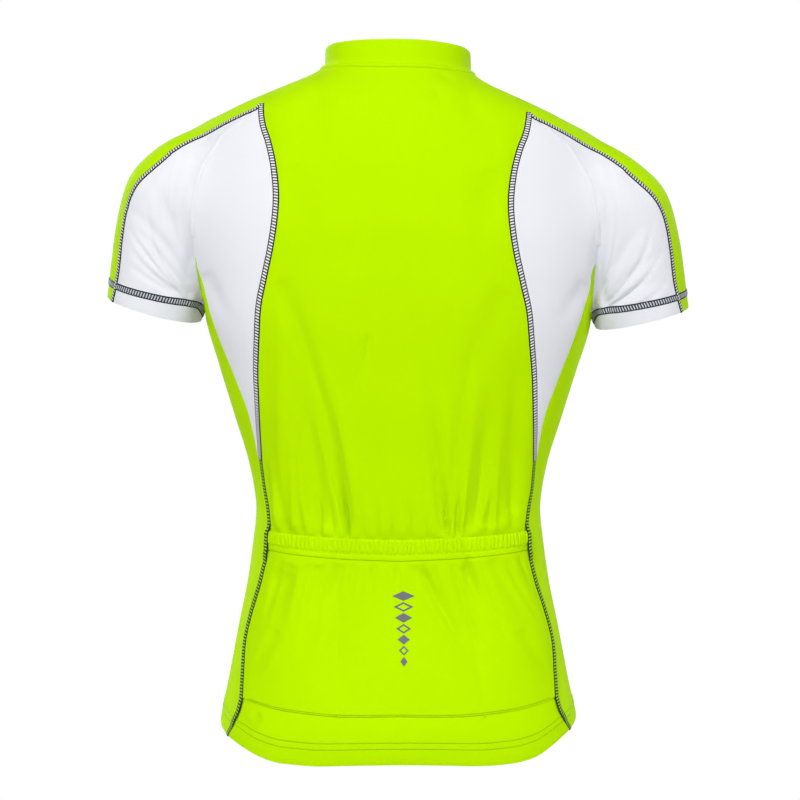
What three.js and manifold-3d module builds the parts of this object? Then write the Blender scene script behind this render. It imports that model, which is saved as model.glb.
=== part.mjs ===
// A short-sleeved cycling jersey, filled out as worn, with nobody in it.
// Millimetres, +Z up. The wearer faces -Y, the back is at +Y and the wearer's left at +X.
// The origin is the middle of the neck opening, at the height of the side neck points.
//
// One smooth form (body, neck and two arms, blended) carries every panel. Seams are short
// tables of places on it, each sampled once and shared by the panels on both its sides.
import * as THREE from "three";
import { mergeVertices } from "three/addons/utils/BufferGeometryUtils.js";
import Module from "manifold-3d";

// Cloth
const clothThickness = 1.2;
const collarThickness = 2;
const seamGap = 0.3;
const collarInset = 0.22;
const zipTapeWidth = 7.4;
const zipTapeThickness = 1.4;

// Zip slider and its pull tab
const sliderLength = 9;
const sliderTopWidth = 7;
const sliderBottomWidth = 5.4;
const sliderThickness = 2.2;
const sliderGap = 0.3;
const bridgeWidth = 2.2;
const tunnelLength = 3.4;
const tunnelHeight = 2;
const bridgeWall = 0.9;
const pullLength = 15;
const pullWidth = 4.8;
const pullThickness = 1;
const pullBar = 1.1;
const pullEyeWidth = 2.9;
const pullEyeLength = 3.6;
const pullRestTilt = 14;
const sliderHeight = -33;

// Tables: the first column is the place, the others become smooth curves over it
function smoothTable(columns, rows) {
  const names = columns.split(" ");
  const sorted = [...rows].sort((a, b) => a[0] - b[0]);
  const places = sorted.map((row) => row[0]);
  const table = {};
  for (let column = 1; column < names.length; column++) {
    const values = sorted.map((row) => row[column]);
    const rises = values.slice(1).map((v, i) => (v - values[i]) / (places[i + 1] - places[i]));
    const slopes = values.map((_, i) => {
      if (i === 0) return rises[0];
      if (i === values.length - 1) return rises[i - 1];
      const before = places[i] - places[i - 1];
      const after = places[i + 1] - places[i];
      return (rises[i - 1] * after + rises[i] * before) / (before + after);
    });
    table[names[column]] = (place) => {
      if (place <= places[0]) return values[0];
      if (place >= places.at(-1)) return values.at(-1);
      let i = 0;
      while (place > places[i + 1]) i++;
      const step = places[i + 1] - places[i];
      const t = (place - places[i]) / step;
      const s = 1 - t;
      return (
        values[i] * s * s * (1 + 2 * t) +
        values[i + 1] * t * t * (3 - 2 * t) +
        step * t * s * (slopes[i] * s - slopes[i + 1] * t)
      );
    };
  }
  return table;
}

// The body by height: half width, and depth to the back and to the front of its middle
const body = smoothTable("height halfWidth back front", [
  [14, 30, 30, 6],
  [6, 59, 46, 10],
  [0, 73, 54, 16],
  [-10, 91, 62, 28],
  [-20, 114, 69, 38],
  [-30, 137, 75, 46],
  [-40, 158, 80, 54],
  [-50, 175, 84, 61],
  [-60, 186, 88, 67],
  [-80, 194, 96, 77],
  [-100, 197, 103, 86],
  [-125, 202, 109, 96],
  [-160, 205, 116, 107],
  [-190, 203, 118, 113],
  [-215, 197, 119, 115],
  [-253, 191.5, 117, 116],
  [-298, 177.5, 112, 113],
  [-343, 163.5, 107, 108],
  [-388, 149.5, 100, 104],
  [-418, 143.5, 96, 102],
  [-433, 141.8, 94, 101],
  [-448, 142.3, 92.5, 100.5],
  [-463, 144, 92, 100],
  [-508, 150.5, 94, 101],
  [-553, 159.5, 100, 103],
  [-598, 168, 109, 105],
  [-643, 176.5, 117, 107],
  [-690, 182, 121, 107],
]);
const bodyMiddle = smoothTable("height depth roundness", [
  [10, 8, 2.1],
  [-60, 6, 2.3],
  [-160, 1, 2.7],
  [-210, 0, 2.7],
  [-300, 0, 2.4],
  [-690, 0, 2.3],
]);

// The neck: an oval column that leans forward as it rises
const neck = { halfWidth: 73, halfDepth: 62, middle: -1, lean: 0.25, foot: -60, blend: 16 };

// The arm: an oval tube from the shoulder to the cuff, with a domed top
const arm = {
  shoulder: new THREE.Vector3(217.5, 5, -135),
  cuff: new THREE.Vector3(244.5, -11.3, -240),
  domeHeight: 63,
  roundness: 2.15,
};
arm.axis = arm.cuff.clone().sub(arm.shoulder).normalize();
arm.outward = new THREE.Vector3(1, 0, 0).addScaledVector(arm.axis, -arm.axis.x).normalize();
arm.backward = new THREE.Vector3().crossVectors(arm.outward, arm.axis).normalize();
if (arm.backward.y < 0) arm.backward.negate();
const armSections = smoothTable("along halfWidth halfDepth", [
  [-65, 43, 60],
  [-40, 47, 59],
  [-20, 52, 58],
  [0, 55.3, 58],
  [42, 55.5, 57],
  [75, 52, 56],
  [105, 48.6, 54.5],
  [130, 47.5, 54],
  [200, 5, 5],
]);
const armBlend = smoothTable("height blend", [
  [-40, 64],
  [-110, 60],
  [-160, 40],
  [-195, 14],
  [-225, 4],
]);

// Fields: below nought inside, nought on the cloth, above nought outside
const blendOf = (a, b, width) => {
  const near = Math.max(width - Math.abs(a - b), 0) / width;
  return Math.min(a, b) - (near ** 3 * width) / 6;
};

function roundField(parts, roundness) {
  let reach = 0;
  let far = 0;
  for (const [offset, half] of parts) {
    reach += Math.abs(offset / half) ** roundness;
    far += offset * offset;
  }
  reach = Math.max(reach ** (1 / roundness), 1e-4);
  return Math.sqrt(far) * (1 - 1 / reach);
}

function bodyField(x, y, z) {
  const deep = y - bodyMiddle.depth(z);
  const half = deep > 0 ? body.back(z) : body.front(z);
  return roundField([[x, body.halfWidth(z)], [deep, half]], bodyMiddle.roundness(z));
}

function armField(x, y, z) {
  const from = new THREE.Vector3(x, y, z).sub(arm.shoulder);
  const along = from.dot(arm.axis);
  const parts = [
    [from.dot(arm.outward), armSections.halfWidth(along)],
    [from.dot(arm.backward), armSections.halfDepth(along)],
  ];
  if (along < 0) parts.push([along, arm.domeHeight]);
  return roundField(parts, arm.roundness);
}

function neckField(x, y, z) {
  const deep = y - neck.middle + neck.lean * Math.max(z, neck.foot);
  return roundField([[x, neck.halfWidth], [deep, neck.halfDepth]], 2);
}

function formField(p) {
  const x = Math.abs(p.x);
  const trunk = blendOf(bodyField(x, p.y, p.z), armField(x, p.y, p.z), armBlend.blend(p.z));
  return blendOf(trunk, neckField(x, p.y, p.z), neck.blend);
}

function outwardAt(p) {
  const step = 0.4;
  const slope = new THREE.Vector3();
  for (const axis of ["x", "y", "z"]) {
    const ahead = p.clone();
    const behind = p.clone();
    ahead[axis] += step;
    behind[axis] -= step;
    slope[axis] = (formField(ahead) - formField(behind)) / (2 * step);
  }
  return slope;
}

// Moves a point to the form, straight along the field's slope or along a given line
function press(p, along) {
  const moved = p.clone();
  for (let turn = 0; turn < 14; turn++) {
    const off = formField(moved);
    if (Math.abs(off) < 1e-4) break;
    const slope = outwardAt(moved);
    if (along) {
      const climb = slope.dot(along);
      const step = THREE.MathUtils.clamp(-off / climb, -12, 12);
      moved.addScaledVector(along, step);
    } else {
      const step = THREE.MathUtils.clamp(-off / slope.lengthSq(), -12, 12);
      moved.addScaledVector(slope, step);
    }
  }
  return moved;
}

// Places on the back are given as seen square on from 3.2 m behind, in real size at y = 0
const viewpoint = new THREE.Vector3(0, 3200, -328);
function seenFromBehind(x, z, guessDepth = 100) {
  const aim = new THREE.Vector3(x, 0, z).sub(viewpoint).normalize();
  const start = viewpoint.clone().addScaledVector(aim, (guessDepth - viewpoint.y) / aim.y);
  return press(start, aim);
}
const seenFromFront = (x, z, guessDepth = -90) =>
  press(new THREE.Vector3(x, guessDepth, z), new THREE.Vector3(0, 1, 0));
const seenFromSide = (y, z) =>
  press(new THREE.Vector3(body.halfWidth(z) - 5, y, z), new THREE.Vector3(1, 0, 0));

// The crease where body and arm meet: it holds one of its three places and solves the others
function creaseAt(held, place, start) {
  const p = start.clone();
  p[held] = place;
  const [first, second] = ["x", "y", "z"].filter((axis) => axis !== held);
  const parting = (q) => bodyField(q.x, q.y, q.z) - armField(q.x, q.y, q.z);
  const step = 0.2;
  for (let turn = 0; turn < 40; turn++) {
    const moved = [first, second].map((axis) => {
      const q = p.clone();
      q[axis] += step;
      return q;
    });
    const [f, g] = [formField(p), parting(p)];
    const [fa, fb] = moved.map((q) => (formField(q) - f) / step);
    const [ga, gb] = moved.map((q) => (parting(q) - g) / step);
    const spread = fa * gb - fb * ga;
    p[first] += THREE.MathUtils.clamp((-f * gb + g * fb) / spread, -3, 3);
    p[second] += THREE.MathUtils.clamp((f * ga - g * fa) / spread, -3, 3);
  }
  return p;
}

// A place on the form at a heading round an upright line, at a height given for its depth
function roundAt(heading, middle, heightFor, guess) {
  const outward = new THREE.Vector3(Math.sin(heading), Math.cos(heading), 0);
  let p = outward.clone().multiplyScalar(guess).setY(outward.y * guess + middle);
  for (let turn = 0; turn < 8; turn++) {
    p.z = heightFor(p, heading);
    p = press(p, outward);
  }
  return p;
}

// Seams: a smooth curve through places on the form, cut into equal steps on the form
function seam(places, steps) {
  const curve = new THREE.CatmullRomCurve3(places, false, "centripetal");
  curve.arcLengthDivisions = 400;
  const points = curve.getSpacedPoints(steps);
  return points.map((p, i) => (i === 0 || i === steps ? p : press(p)));
}
const joined = (...curves) => curves.reduce((all, next) => [...all, ...next.slice(1)]);

// Neck and hem
const ringHeight = smoothTable("heading height", [
  [0, 0.3],
  [60, 0.2],
  [90, -0.8],
  [112, -6],
  [135, -22],
  [158, -40],
  [180, -47],
]);
const collarHeight = smoothTable("heading height", [
  [0, 27.3],
  [45, 26.4],
  [90, 20.5],
  [112, 11],
  [135, -5],
  [158, -19],
  [180, -25],
]);
const degrees = THREE.MathUtils.degToRad;
const neckMiddle = 0;
const neckGuess = 68;
const onRing = (heading, heights) =>
  roundAt(degrees(heading), neckMiddle, () => heights.height(Math.abs(heading)), neckGuess);
const hemHeight = smoothTable("depth height", [
  [-110, -628],
  [-50, -637],
  [0, -647],
  [30, -655],
  [60, -665],
  [90, -675],
  [110, -679.5],
  [124, -681],
]);
const hemAt = (heading) => roundAt(degrees(heading), 0, (p) => hemHeight.height(p.y), 150);

// Steps along each seam, shared by the panels on both sides of it
const steps = {
  neckBack: 15,
  neckStrip: 4,
  neckFront: 3,
  shoulder: 8,
  shoulderFront: 9,
  armholeBack: 8,
  underarm: 6,
  armholeFront: 8,
  upperSide: 8,
  waist: 3,
  pocketBand: 1,
  pocket: 8,
  hemTurn: 2,
  sleeve: 8,
  sideHem: 6,
  collar: 3,
};
steps.front = steps.neckFront + steps.shoulderFront;
steps.lowerSide = steps.waist + steps.pocketBand + steps.pocket + steps.hemTurn;
steps.sideFront = steps.upperSide + 1 + steps.lowerSide;
steps.back = steps.neckBack + 2 * steps.shoulder;

// Places where seams meet
const heading = { strip: 84, front: 124, zip: 180, hemBack: 74.5, hemFront: 106 };
const backCorner = seenFromBehind(134, -36.5, 60);
const armholeTop = seenFromBehind(139.5, -41.5, 60);
const frontCorner = seenFromFront(136, -48, -40);
const tip = creaseAt("z", -191, seenFromBehind(203, -191, 40));

// Armhole: down the back to the side panel's tip, under the arm, and up the front
const armholeBack = seam(
  [
    armholeTop,
    ...[[158, -56.5], [172.5, -68], [183.5, -84], [192.5, -101], [198, -120], [202, -140], [204, -160]]
      .map(([x, z]) => seenFromBehind(x, z, 50)),
    tip,
  ],
  steps.armholeBack,
);
const frontTip = creaseAt("z", -191, seenFromFront(200, -191, -50));
const underarm = (() => {
  const places = [tip];
  const stops = 12;
  for (let i = 1; i < stops; i++) {
    places.push(creaseAt("y", THREE.MathUtils.lerp(tip.y, frontTip.y, i / stops), places.at(-1)));
  }
  places.push(frontTip);
  return seam(places, steps.underarm);
})();
const armholeFront = seam(
  [
    frontCorner,
    ...[[150, -60], [163, -76], [173, -94], [181, -114], [188, -138], [195, -162]]
      .map(([x, z]) => seenFromFront(x, z, -50)),
    frontTip,
  ],
  steps.armholeFront,
);

// Princess seam of the back, from the shoulder corner to the hem
const princessPlaces = [
  [131.3, -58], [126, -73], [120.5, -96], [117.5, -125], [118.6, -148], [122.5, -175],
  [129.5, -208], [135, -235], [137.5, -268], [139.2, -300], [138.8, -340],
];
const whiteEnd = seenFromBehind(137, -388);
const whiteEndOuter = seenFromBehind(139.4, -386.5);
const princessUpper = seam(
  [backCorner, ...princessPlaces.map(([x, z]) => seenFromBehind(x, z)), whiteEnd],
  steps.armholeBack + steps.upperSide,
);
const bandTopEnd = seenFromBehind(128.6, -458.5);
const bandBottomEnd = seenFromBehind(129.4, -478);
const pocketEnd = seenFromBehind(156.4, -626);
const hemBackEnd = hemAt(heading.hemBack);
const princessWaist = seam([whiteEnd, seenFromBehind(133.5, -418), bandTopEnd], steps.waist);
const princessBand = seam([bandTopEnd, bandBottomEnd], steps.pocketBand);
const princessPocket = seam(
  [bandBottomEnd, ...[[136, -508], [146, -540], [152.6, -568], [154.8, -598]]
    .map(([x, z]) => seenFromBehind(x, z)), pocketEnd],
  steps.pocket,
);
const princessHem = seam([pocketEnd, seenFromBehind(161, -643), hemBackEnd], steps.hemTurn);

// Side seam at the back, white panel against green, and at the front
const sideBack = seam(
  [
    tip,
    ...[[195.8, -208], [191.5, -223], [182.5, -253], [171.5, -283], [159.5, -313], [148.5, -343]]
      .map(([x, z]) => seenFromBehind(x, z, 55)),
    whiteEndOuter,
  ],
  steps.upperSide,
);
const hemFrontEnd = hemAt(heading.hemFront);
const sideFront = seam(
  [
    frontTip,
    ...[[-50, -240], [-50, -300], [-48, -388], [-47, -458], [-46, -560]]
      .map(([y, z]) => seenFromSide(y, z)),
    hemFrontEnd,
  ],
  steps.sideFront,
);

// Shoulder strip: from the neck over the shoulder and down the sleeve to the cuff
const neckSide = onRing(heading.strip, ringHeight);
const neckFrontSide = onRing(heading.front, ringHeight);
const shoulderBack = seam(
  [neckSide, press(new THREE.Vector3(96, 17, -9)), press(new THREE.Vector3(117, 26, -21)), backCorner],
  steps.shoulder,
);
const shoulderFront = seam(
  [neckFrontSide, press(new THREE.Vector3(86, -36, -28)), press(new THREE.Vector3(112, -38, -38)), frontCorner],
  steps.shoulderFront,
);

// The cuff: where the form crosses the plane square to the arm
function cuffAt(turn) {
  const outward = arm.outward.clone().multiplyScalar(Math.cos(turn));
  outward.addScaledVector(arm.backward, Math.sin(turn));
  return press(arm.cuff.clone().addScaledVector(outward, 50), outward);
}
const cuffBackTurn = degrees(40);
const cuffFrontTurn = degrees(-34);
const stripBack = seam(
  [
    armholeTop,
    ...[[161.8, -52], [180, -62], [200.8, -73], [226, -88], [244.3, -103], [258.5, -118], [266.5, -133],
      [271.5, -152], [275, -175], [278.5, -206]].map(([x, z]) => seenFromBehind(x, z, 25)),
    cuffAt(cuffBackTurn),
  ],
  steps.sleeve,
);
const stripFront = seam(
  [
    frontCorner,
    ...[[160, -59], [183, -70], [206, -83], [229, -99], [246, -116], [257, -134], [263.5, -155], [268, -180]]
      .map(([x, z]) => seenFromFront(x, z, -35)),
    cuffAt(cuffFrontTurn),
  ],
  steps.sleeve,
);

// Grids: points between four edges, each edge's shape fading evenly towards the facing one.
// On the body they are blended in space, then pressed on the form. On the arm they are blended
// as turns round it and lengths along it, then pressed out from its middle line.
const inSpace = {
  from: (p) => p.toArray(),
  to: ([x, y, z]) => press(new THREE.Vector3(x, y, z)),
  fading: [1, 1, 1],
};
const roundArm = {
  from: (p) => {
    const away = p.clone().sub(arm.shoulder);
    const turn = Math.atan2(away.dot(arm.backward), away.dot(arm.outward));
    return [turn < 0 ? turn + 2 * Math.PI : turn, away.dot(arm.axis)];
  },
  to: ([turn, along]) => {
    const outward = arm.outward.clone().multiplyScalar(Math.cos(turn));
    outward.addScaledVector(arm.backward, Math.sin(turn));
    const start = arm.shoulder.clone().addScaledVector(arm.axis, along);
    return press(start.addScaledVector(outward, 45), outward);
  },
  fading: [3.5, 5],
};
function gridBetween(top, bottom, left, right, frame = inSpace) {
  const across = top.length - 1;
  const down = left.length - 1;
  const [t, b, l, r] = [top, bottom, left, right].map((edge) => edge.map(frame.from));
  const away = (edge, i, k) => edge[i][k] - THREE.MathUtils.lerp(edge[0][k], edge[down][k], i / down);
  const grid = [];
  for (let i = 0; i <= down; i++) {
    const v = i / down;
    const row = [];
    for (let j = 0; j <= across; j++) {
      const u = j / across;
      const place = t[j].map((value, k) =>
        THREE.MathUtils.lerp(value, b[j][k], v) +
        (1 - u) ** frame.fading[k] * away(l, i, k) +
        u ** frame.fading[k] * away(r, i, k));
      if (i === 0) row.push(top[j].clone());
      else if (i === down) row.push(bottom[j].clone());
      else if (j === 0) row.push(left[i].clone());
      else if (j === across) row.push(right[i].clone());
      else row.push(frame.to(place));
    }
    grid.push(row);
  }
  return grid;
}
const mirrored = (p) => new THREE.Vector3(-p.x, p.y, p.z);
const stacked = (...grids) => grids.reduce((all, next) => [...all, ...next.slice(1)]);

// A row across the back between the two princess seams, at seen heights by seen place
function acrossBack(end, heights) {
  const places = [end];
  const stops = 10;
  for (let i = 1; i < stops; i++) {
    const x = THREE.MathUtils.lerp(end.x, -end.x, i / stops);
    places.push(seenFromBehind(x, heights.height(Math.abs(x))));
  }
  places.push(mirrored(end));
  return seam(places, steps.back);
}
const heightsAcross = (rows) => smoothTable("place height", rows);
const bandTop = acrossBack(
  bandTopEnd,
  heightsAcross([[0, -467], [50, -465.8], [100, -462], [127, -458.3]]),
);
const bandBottom = acrossBack(
  bandBottomEnd,
  heightsAcross([[0, -489.5], [60, -487], [100, -483], [127, -478.5]]),
);
const pocketBottom = acrossBack(
  pocketEnd,
  heightsAcross([[0, -644.5], [60, -644], [90, -641], [120, -636.5], [156, -625]]),
);

const neckBackRing = (() => {
  const points = [];
  for (let i = 0; i <= steps.neckBack; i++) {
    points.push(onRing(heading.strip * (1 - (2 * i) / steps.neckBack), ringHeight));
  }
  return points;
})();
const reversed = (points) => [...points].reverse();
const across = (points) => points.map(mirrored);

const hemRow = (from, to, count) => {
  const points = [];
  for (let i = 0; i <= count; i++) points.push(hemAt(THREE.MathUtils.lerp(from, to, i / count)));
  return points;
};

// Back panel, from its top edge down past the pocket's band and bottom seam to the hem
const backTop = joined(reversed(shoulderBack), neckBackRing, across(shoulderBack));
const hemBack = hemRow(heading.hemBack, -heading.hemBack, steps.back);
const sideOf = (curve) => [curve, across(curve)];
const backBlocks = [
  gridBetween(backTop, bandTop, ...sideOf(joined(princessUpper, princessWaist))),
  gridBetween(bandTop, bandBottom, ...sideOf(princessBand)),
  gridBetween(bandBottom, pocketBottom, ...sideOf(princessPocket)),
  gridBetween(pocketBottom, hemBack, ...sideOf(princessHem)),
];

// Zip and fronts
const zipHalf = zipTapeWidth / 2;
function zipEdgeAt(height) {
  return seenFromFront(zipHalf, height, -100);
}
const ringFront = (() => {
  const points = [];
  for (let i = 0; i <= steps.neckFront; i++) {
    const turn = THREE.MathUtils.lerp(heading.front, heading.zip, i / steps.neckFront);
    points.push(onRing(turn, ringHeight));
  }
  const last = points.length - 1;
  points[last] = seenFromFront(zipHalf, ringHeight.height(180), -55);
  return points;
})();
const ringStrip = (() => {
  const points = [];
  for (let i = 0; i <= steps.neckStrip; i++) {
    points.push(onRing(THREE.MathUtils.lerp(heading.strip, heading.front, i / steps.neckStrip), ringHeight));
  }
  return points;
})();
const zipRows = steps.armholeFront + steps.sideFront;
const zipBottom = seenFromFront(zipHalf, hemHeight.height(-107), -107);
const zipEdge = seam(
  [
    ringFront.at(-1),
    ...[-70, -110, -160, -220, -290, -370, -450, -540].map(zipEdgeAt),
    zipBottom,
  ],
  zipRows,
);
const hemFront = (() => {
  const points = hemRow(heading.hemFront, 178, steps.front);
  points[steps.front] = zipBottom.clone();
  return points;
})();
const frontTop = joined(reversed(shoulderFront), ringFront);
const frontGrid = gridBetween(frontTop, hemFront, joined(armholeFront, sideFront), zipEdge);

// White side panel of the back, narrowing to its tip at the waist
const between = (a, b, count) => {
  const points = [];
  for (let i = 0; i <= count; i++) points.push(a.clone().lerp(b, i / count));
  return points;
};
const sidePieceColumns = 4;
const backSideGrid = gridBetween(
  between(armholeTop, backCorner, sidePieceColumns),
  between(whiteEndOuter, whiteEnd, sidePieceColumns),
  joined(armholeBack, sideBack),
  princessUpper,
);

// Green side panel under the arm
const princessLower = joined(princessWaist, princessBand, princessPocket, princessHem);
const sideHem = hemRow(heading.hemFront, heading.hemBack, steps.sideHem);
const sideGrid = gridBetween(
  reversed(underarm),
  sideHem,
  sideFront,
  joined(sideBack, [whiteEndOuter, ...princessLower]),
);

// Shoulder strip and sleeve
const stripEdgeBack = joined(shoulderBack, [backCorner, armholeTop], stripBack);
const stripEdgeFront = joined(shoulderFront, stripFront);
const cuffRow = (from, to, count) => {
  const points = [];
  for (let i = 0; i <= count; i++) points.push(cuffAt(THREE.MathUtils.lerp(from, to, i / count)));
  return points;
};

const stripGrid = gridBetween(
  ringStrip,
  cuffRow(cuffBackTurn, cuffFrontTurn, steps.neckStrip),
  stripEdgeBack,
  stripEdgeFront,
);
const sleeveGrid = gridBetween(
  joined(armholeBack, underarm, reversed(armholeFront)),
  cuffRow(cuffBackTurn, cuffFrontTurn + 2 * Math.PI, steps.armholeBack + steps.underarm + steps.armholeFront),
  stripBack,
  stripFront,
  roundArm,
);

// Collar and zip tape
const ringSide = joined(ringStrip, ringFront);
const ringAll = joined(reversed(ringSide), neckBackRing, across(ringSide));
const collarTopEnd = seenFromFront(zipHalf, collarHeight.height(180), -60);
const collarTop = ringAll.map((p) => {
  const turn = Math.atan2(p.x, p.y - neckMiddle);
  return roundAt(turn, neckMiddle, () => collarHeight.height(Math.abs(THREE.MathUtils.radToDeg(turn))), neckGuess);
});
collarTop[0] = collarTopEnd;
collarTop[collarTop.length - 1] = mirrored(collarTopEnd);
const collarEnd = seam([collarTopEnd, seenFromFront(zipHalf, -36, -60), ringAll[0]], steps.collar);
const collarGrid = gridBetween(collarTop, ringAll, ...sideOf(collarEnd));
const tapeEdge = joined(collarEnd, zipEdge);
const tapeGrid = tapeEdge.map((p) => [p, press(p.clone().setX(0), new THREE.Vector3(0, 1, 0)), mirrored(p)]);

// The largest folds of the back, as seen: soft troughs (below nought) and ridges between two places
const folds = [
  ["x from", "z from", "x to", "z to", "half width", "rise"],
  [78, -453, 98, -228, 9, -2.4],
  [47, -462, 91, -312, 7, -2.8],
  [91, -312, 116, -207, 8, -2],
  [53, -450, 88, -248, 8, -1.6],
  [116, -450, 113, -218, 8, 1.8],
  [-50, -462, -32, -288, 8, -2.6],
  [-57, -455, -67, -328, 7, -1.8],
  [-67, -328, -84, -248, 8, -1.4],
  [-75, -460, -97, -303, 9, -2.2],
  [-107, -450, -122, -278, 9, -1.6],
  [103, -493, 126, -578, 9, -2],
  [78, -493, 93, -598, 8, -2],
  [58, -493, 78, -553, 7, -1.5],
  [-22, -493, -72, -578, 8, -1.8],
  [-67, -493, -102, -568, 8, -2],
  [-90, -488, -134, -568, 8, -1.6],
].slice(1);
function foldRise(p) {
  if (p.y < 20) return 0;
  const scale = 1 - p.y / viewpoint.y;
  const x = p.x / scale;
  const z = viewpoint.z + (p.z - viewpoint.z) / scale;
  let rise = 0;
  for (const [fromX, fromZ, toX, toZ, halfWidth, height] of folds) {
    const length = Math.hypot(toX - fromX, toZ - fromZ);
    const along = ((x - fromX) * (toX - fromX) + (z - fromZ) * (toZ - fromZ)) / length ** 2;
    if (along <= 0 || along >= 1) continue;
    const aside = ((x - fromX) * (toZ - fromZ) - (z - fromZ) * (toX - fromX)) / length;
    rise += height * Math.sin(Math.PI * along) ** 0.8 * Math.exp(-((aside / halfWidth) ** 2));
  }
  return rise;
}

// The stance: the wearer's left shoulder a little higher, the upper back turned a little to the left
const stance = smoothTable("height lean turn", [
  [26, 0.02, 4.5],
  [0, 0.036, 4.5],
  [-40, 0.033, 4.5],
  [-230, 0.019, 4.5],
  [-450, 0, 1],
  [-690, 0, -1.5],
]);
// The hem's corners ride up a little, the right one more
const cornerRise = smoothTable("place rise", [
  [-178, 11],
  [-160, 7],
  [-135, 1],
  [-115, 0],
  [115, 0],
  [150, 1.5],
  [178, 4],
]);
function posed(p) {
  const share = THREE.MathUtils.smoothstep(p.y, -20, 110);
  const lean = stance.lean(p.z) * p.x * THREE.MathUtils.smoothstep(Math.abs(p.x), 2, 60);
  const lift = lean + cornerRise.rise(p.x) * THREE.MathUtils.smoothstep(-p.z, 600, 680);
  return new THREE.Vector3(p.x + stance.turn(p.z) * share, p.y, p.z + lift);
}

// Cloth solids: a wall between the outer points and the same points moved in
function solidFrom(vertices, faces) {
  const at = (i) => vertices[i];
  let volume = 0;
  for (const [a, b, c] of faces) volume += at(a).dot(new THREE.Vector3().crossVectors(at(b), at(c)));
  const index = faces.flatMap(([a, b, c]) => (volume < 0 ? [a, c, b] : [a, b, c]));
  const geometry = new THREE.BufferGeometry();
  geometry.setAttribute(
    "position",
    new THREE.Float32BufferAttribute(vertices.flatMap((p) => [p.x, p.y, p.z]), 3),
  );
  geometry.setIndex(index);
  geometry.computeVertexNormals();
  return geometry;
}

const miterReach = 6;
function clothWall(outer, inner, inset) {
  const down = outer.length - 1;
  const wide = outer[0].length - 1;
  const edge = [];
  for (let j = 0; j < wide; j++) edge.push([0, j]);
  for (let i = 0; i < down; i++) edge.push([i, wide]);
  for (let j = wide; j > 0; j--) edge.push([down, j]);
  for (let i = down; i > 0; i--) edge.push([i, 0]);
  const wall = (list) => list.map((row) => row.map((p) => p.clone()));
  const [outside, inside] = [wall(outer), wall(inner)];
  edge.forEach(([i, j], k) => {
    const [before, after] = [edge.at(k - 1), edge[(k + 1) % edge.length]].map(([a, b]) => outer[a][b]);
    const here = outer[i][j];
    const out = here.clone().sub(inner[i][j]).normalize();
    const sides = [here.clone().sub(before), after.clone().sub(here)].map((line) =>
      new THREE.Vector3().crossVectors(out, line).normalize());
    const inward = sides[0].clone().add(sides[1]).divideScalar(1 + sides[0].dot(sides[1]));
    if (inward.length() > miterReach) inward.setLength(miterReach);
    edge[k].push(inward);
  });
  // A mirrored grid runs the other way round: most of its edge tells which side is inward
  const votes = edge.reduce((sum, [i, j, inward]) => {
    const row = THREE.MathUtils.clamp(i, 1, down - 1);
    const column = THREE.MathUtils.clamp(j, 1, wide - 1);
    return sum + Math.sign(inward.dot(outer[row][column].clone().sub(outer[i][j])));
  }, 0);
  const turn = votes < 0 ? -1 : 1;
  for (const [i, j, inward] of edge) {
    outside[i][j].addScaledVector(inward, inset * turn);
    inside[i][j].addScaledVector(inward, inset * turn);
  }
  const count = (down + 1) * (wide + 1);
  const id = (i, j) => i * (wide + 1) + j;
  const faces = [];
  for (let i = 0; i < down; i++) {
    for (let j = 0; j < wide; j++) {
      const [a, b, c, d] = [id(i, j), id(i, j + 1), id(i + 1, j + 1), id(i + 1, j)];
      faces.push([a, b, c], [a, c, d], [count + a, count + c, count + b], [count + a, count + d, count + c]);
    }
  }
  edge.forEach(([i, j], k) => {
    const [a, b] = edge[(k + 1) % edge.length];
    const [p, q] = [id(i, j), id(a, b)];
    const forward = outside[i][j].distanceTo(inside[a][b]);
    const backward = outside[a][b].distanceTo(inside[i][j]);
    if (forward < backward) faces.push([p, count + p, count + q], [p, count + q, q]);
    else faces.push([p, count + p, q], [count + p, count + q, q]);
  });
  return solidFrom([...outside.flat(), ...inside.flat()], faces);
}

function clothFrom(grid, thickness, { lift = () => 0, inset = seamGap / 2, side = 1 } = {}) {
  const outer = [];
  const inner = [];
  grid.forEach((row, i) => {
    outer.push([]);
    inner.push([]);
    row.forEach((point, j) => {
      const p = side < 0 ? mirrored(point) : point;
      const out = outwardAt(p).normalize();
      const at = foldRise(p) + lift(p, i, j);
      outer[i].push(posed(p.clone().addScaledVector(out, at)));
      inner[i].push(posed(p.clone().addScaledVector(out, at - thickness)));
    });
  });
  return clothWall(outer, inner, inset);
}

// The rear pocket: one wide patch, sewn down along two lines into three pockets
const pocketStandOff = 6.6;
const pocketRest = 0.5;
const pocketSideInset = 4;
const pocketEdgeInset = 1;
const pocketDivisions = smoothTable("height left right", [
  [-470, 60, -62],
  [-645, 58, -84],
]);
function pocketRoom(p) {
  const half = princessPlaceAt(p.z) - pocketSideInset;
  const lines = [half, pocketDivisions.left(p.z), pocketDivisions.right(p.z), -half];
  for (let i = 0; i < 3; i++) {
    if (p.x <= lines[i] && p.x >= lines[i + 1]) {
      const share = (lines[i] - p.x) / (lines[i] - lines[i + 1]);
      return Math.sin(Math.PI * share) ** 0.7;
    }
  }
  return 0;
}
const princessAll = joined(princessUpper, princessLower);
function princessPlaceAt(z) {
  const i = Math.max(1, princessAll.findIndex((p) => p.z < z));
  const [a, b] = [princessAll[i - 1], princessAll[i]];
  return THREE.MathUtils.mapLinear(z, a.z, b.z, a.x, b.x);
}
const pocketGrid = backBlocks[2];
const bandGrid = backBlocks[1];
const pocketLift = (p, i) => {
  const closing = 1 - (i / steps.pocket) ** 3;
  return pocketRest + clothThickness + pocketStandOff * pocketRoom(p) * closing;
};

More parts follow.
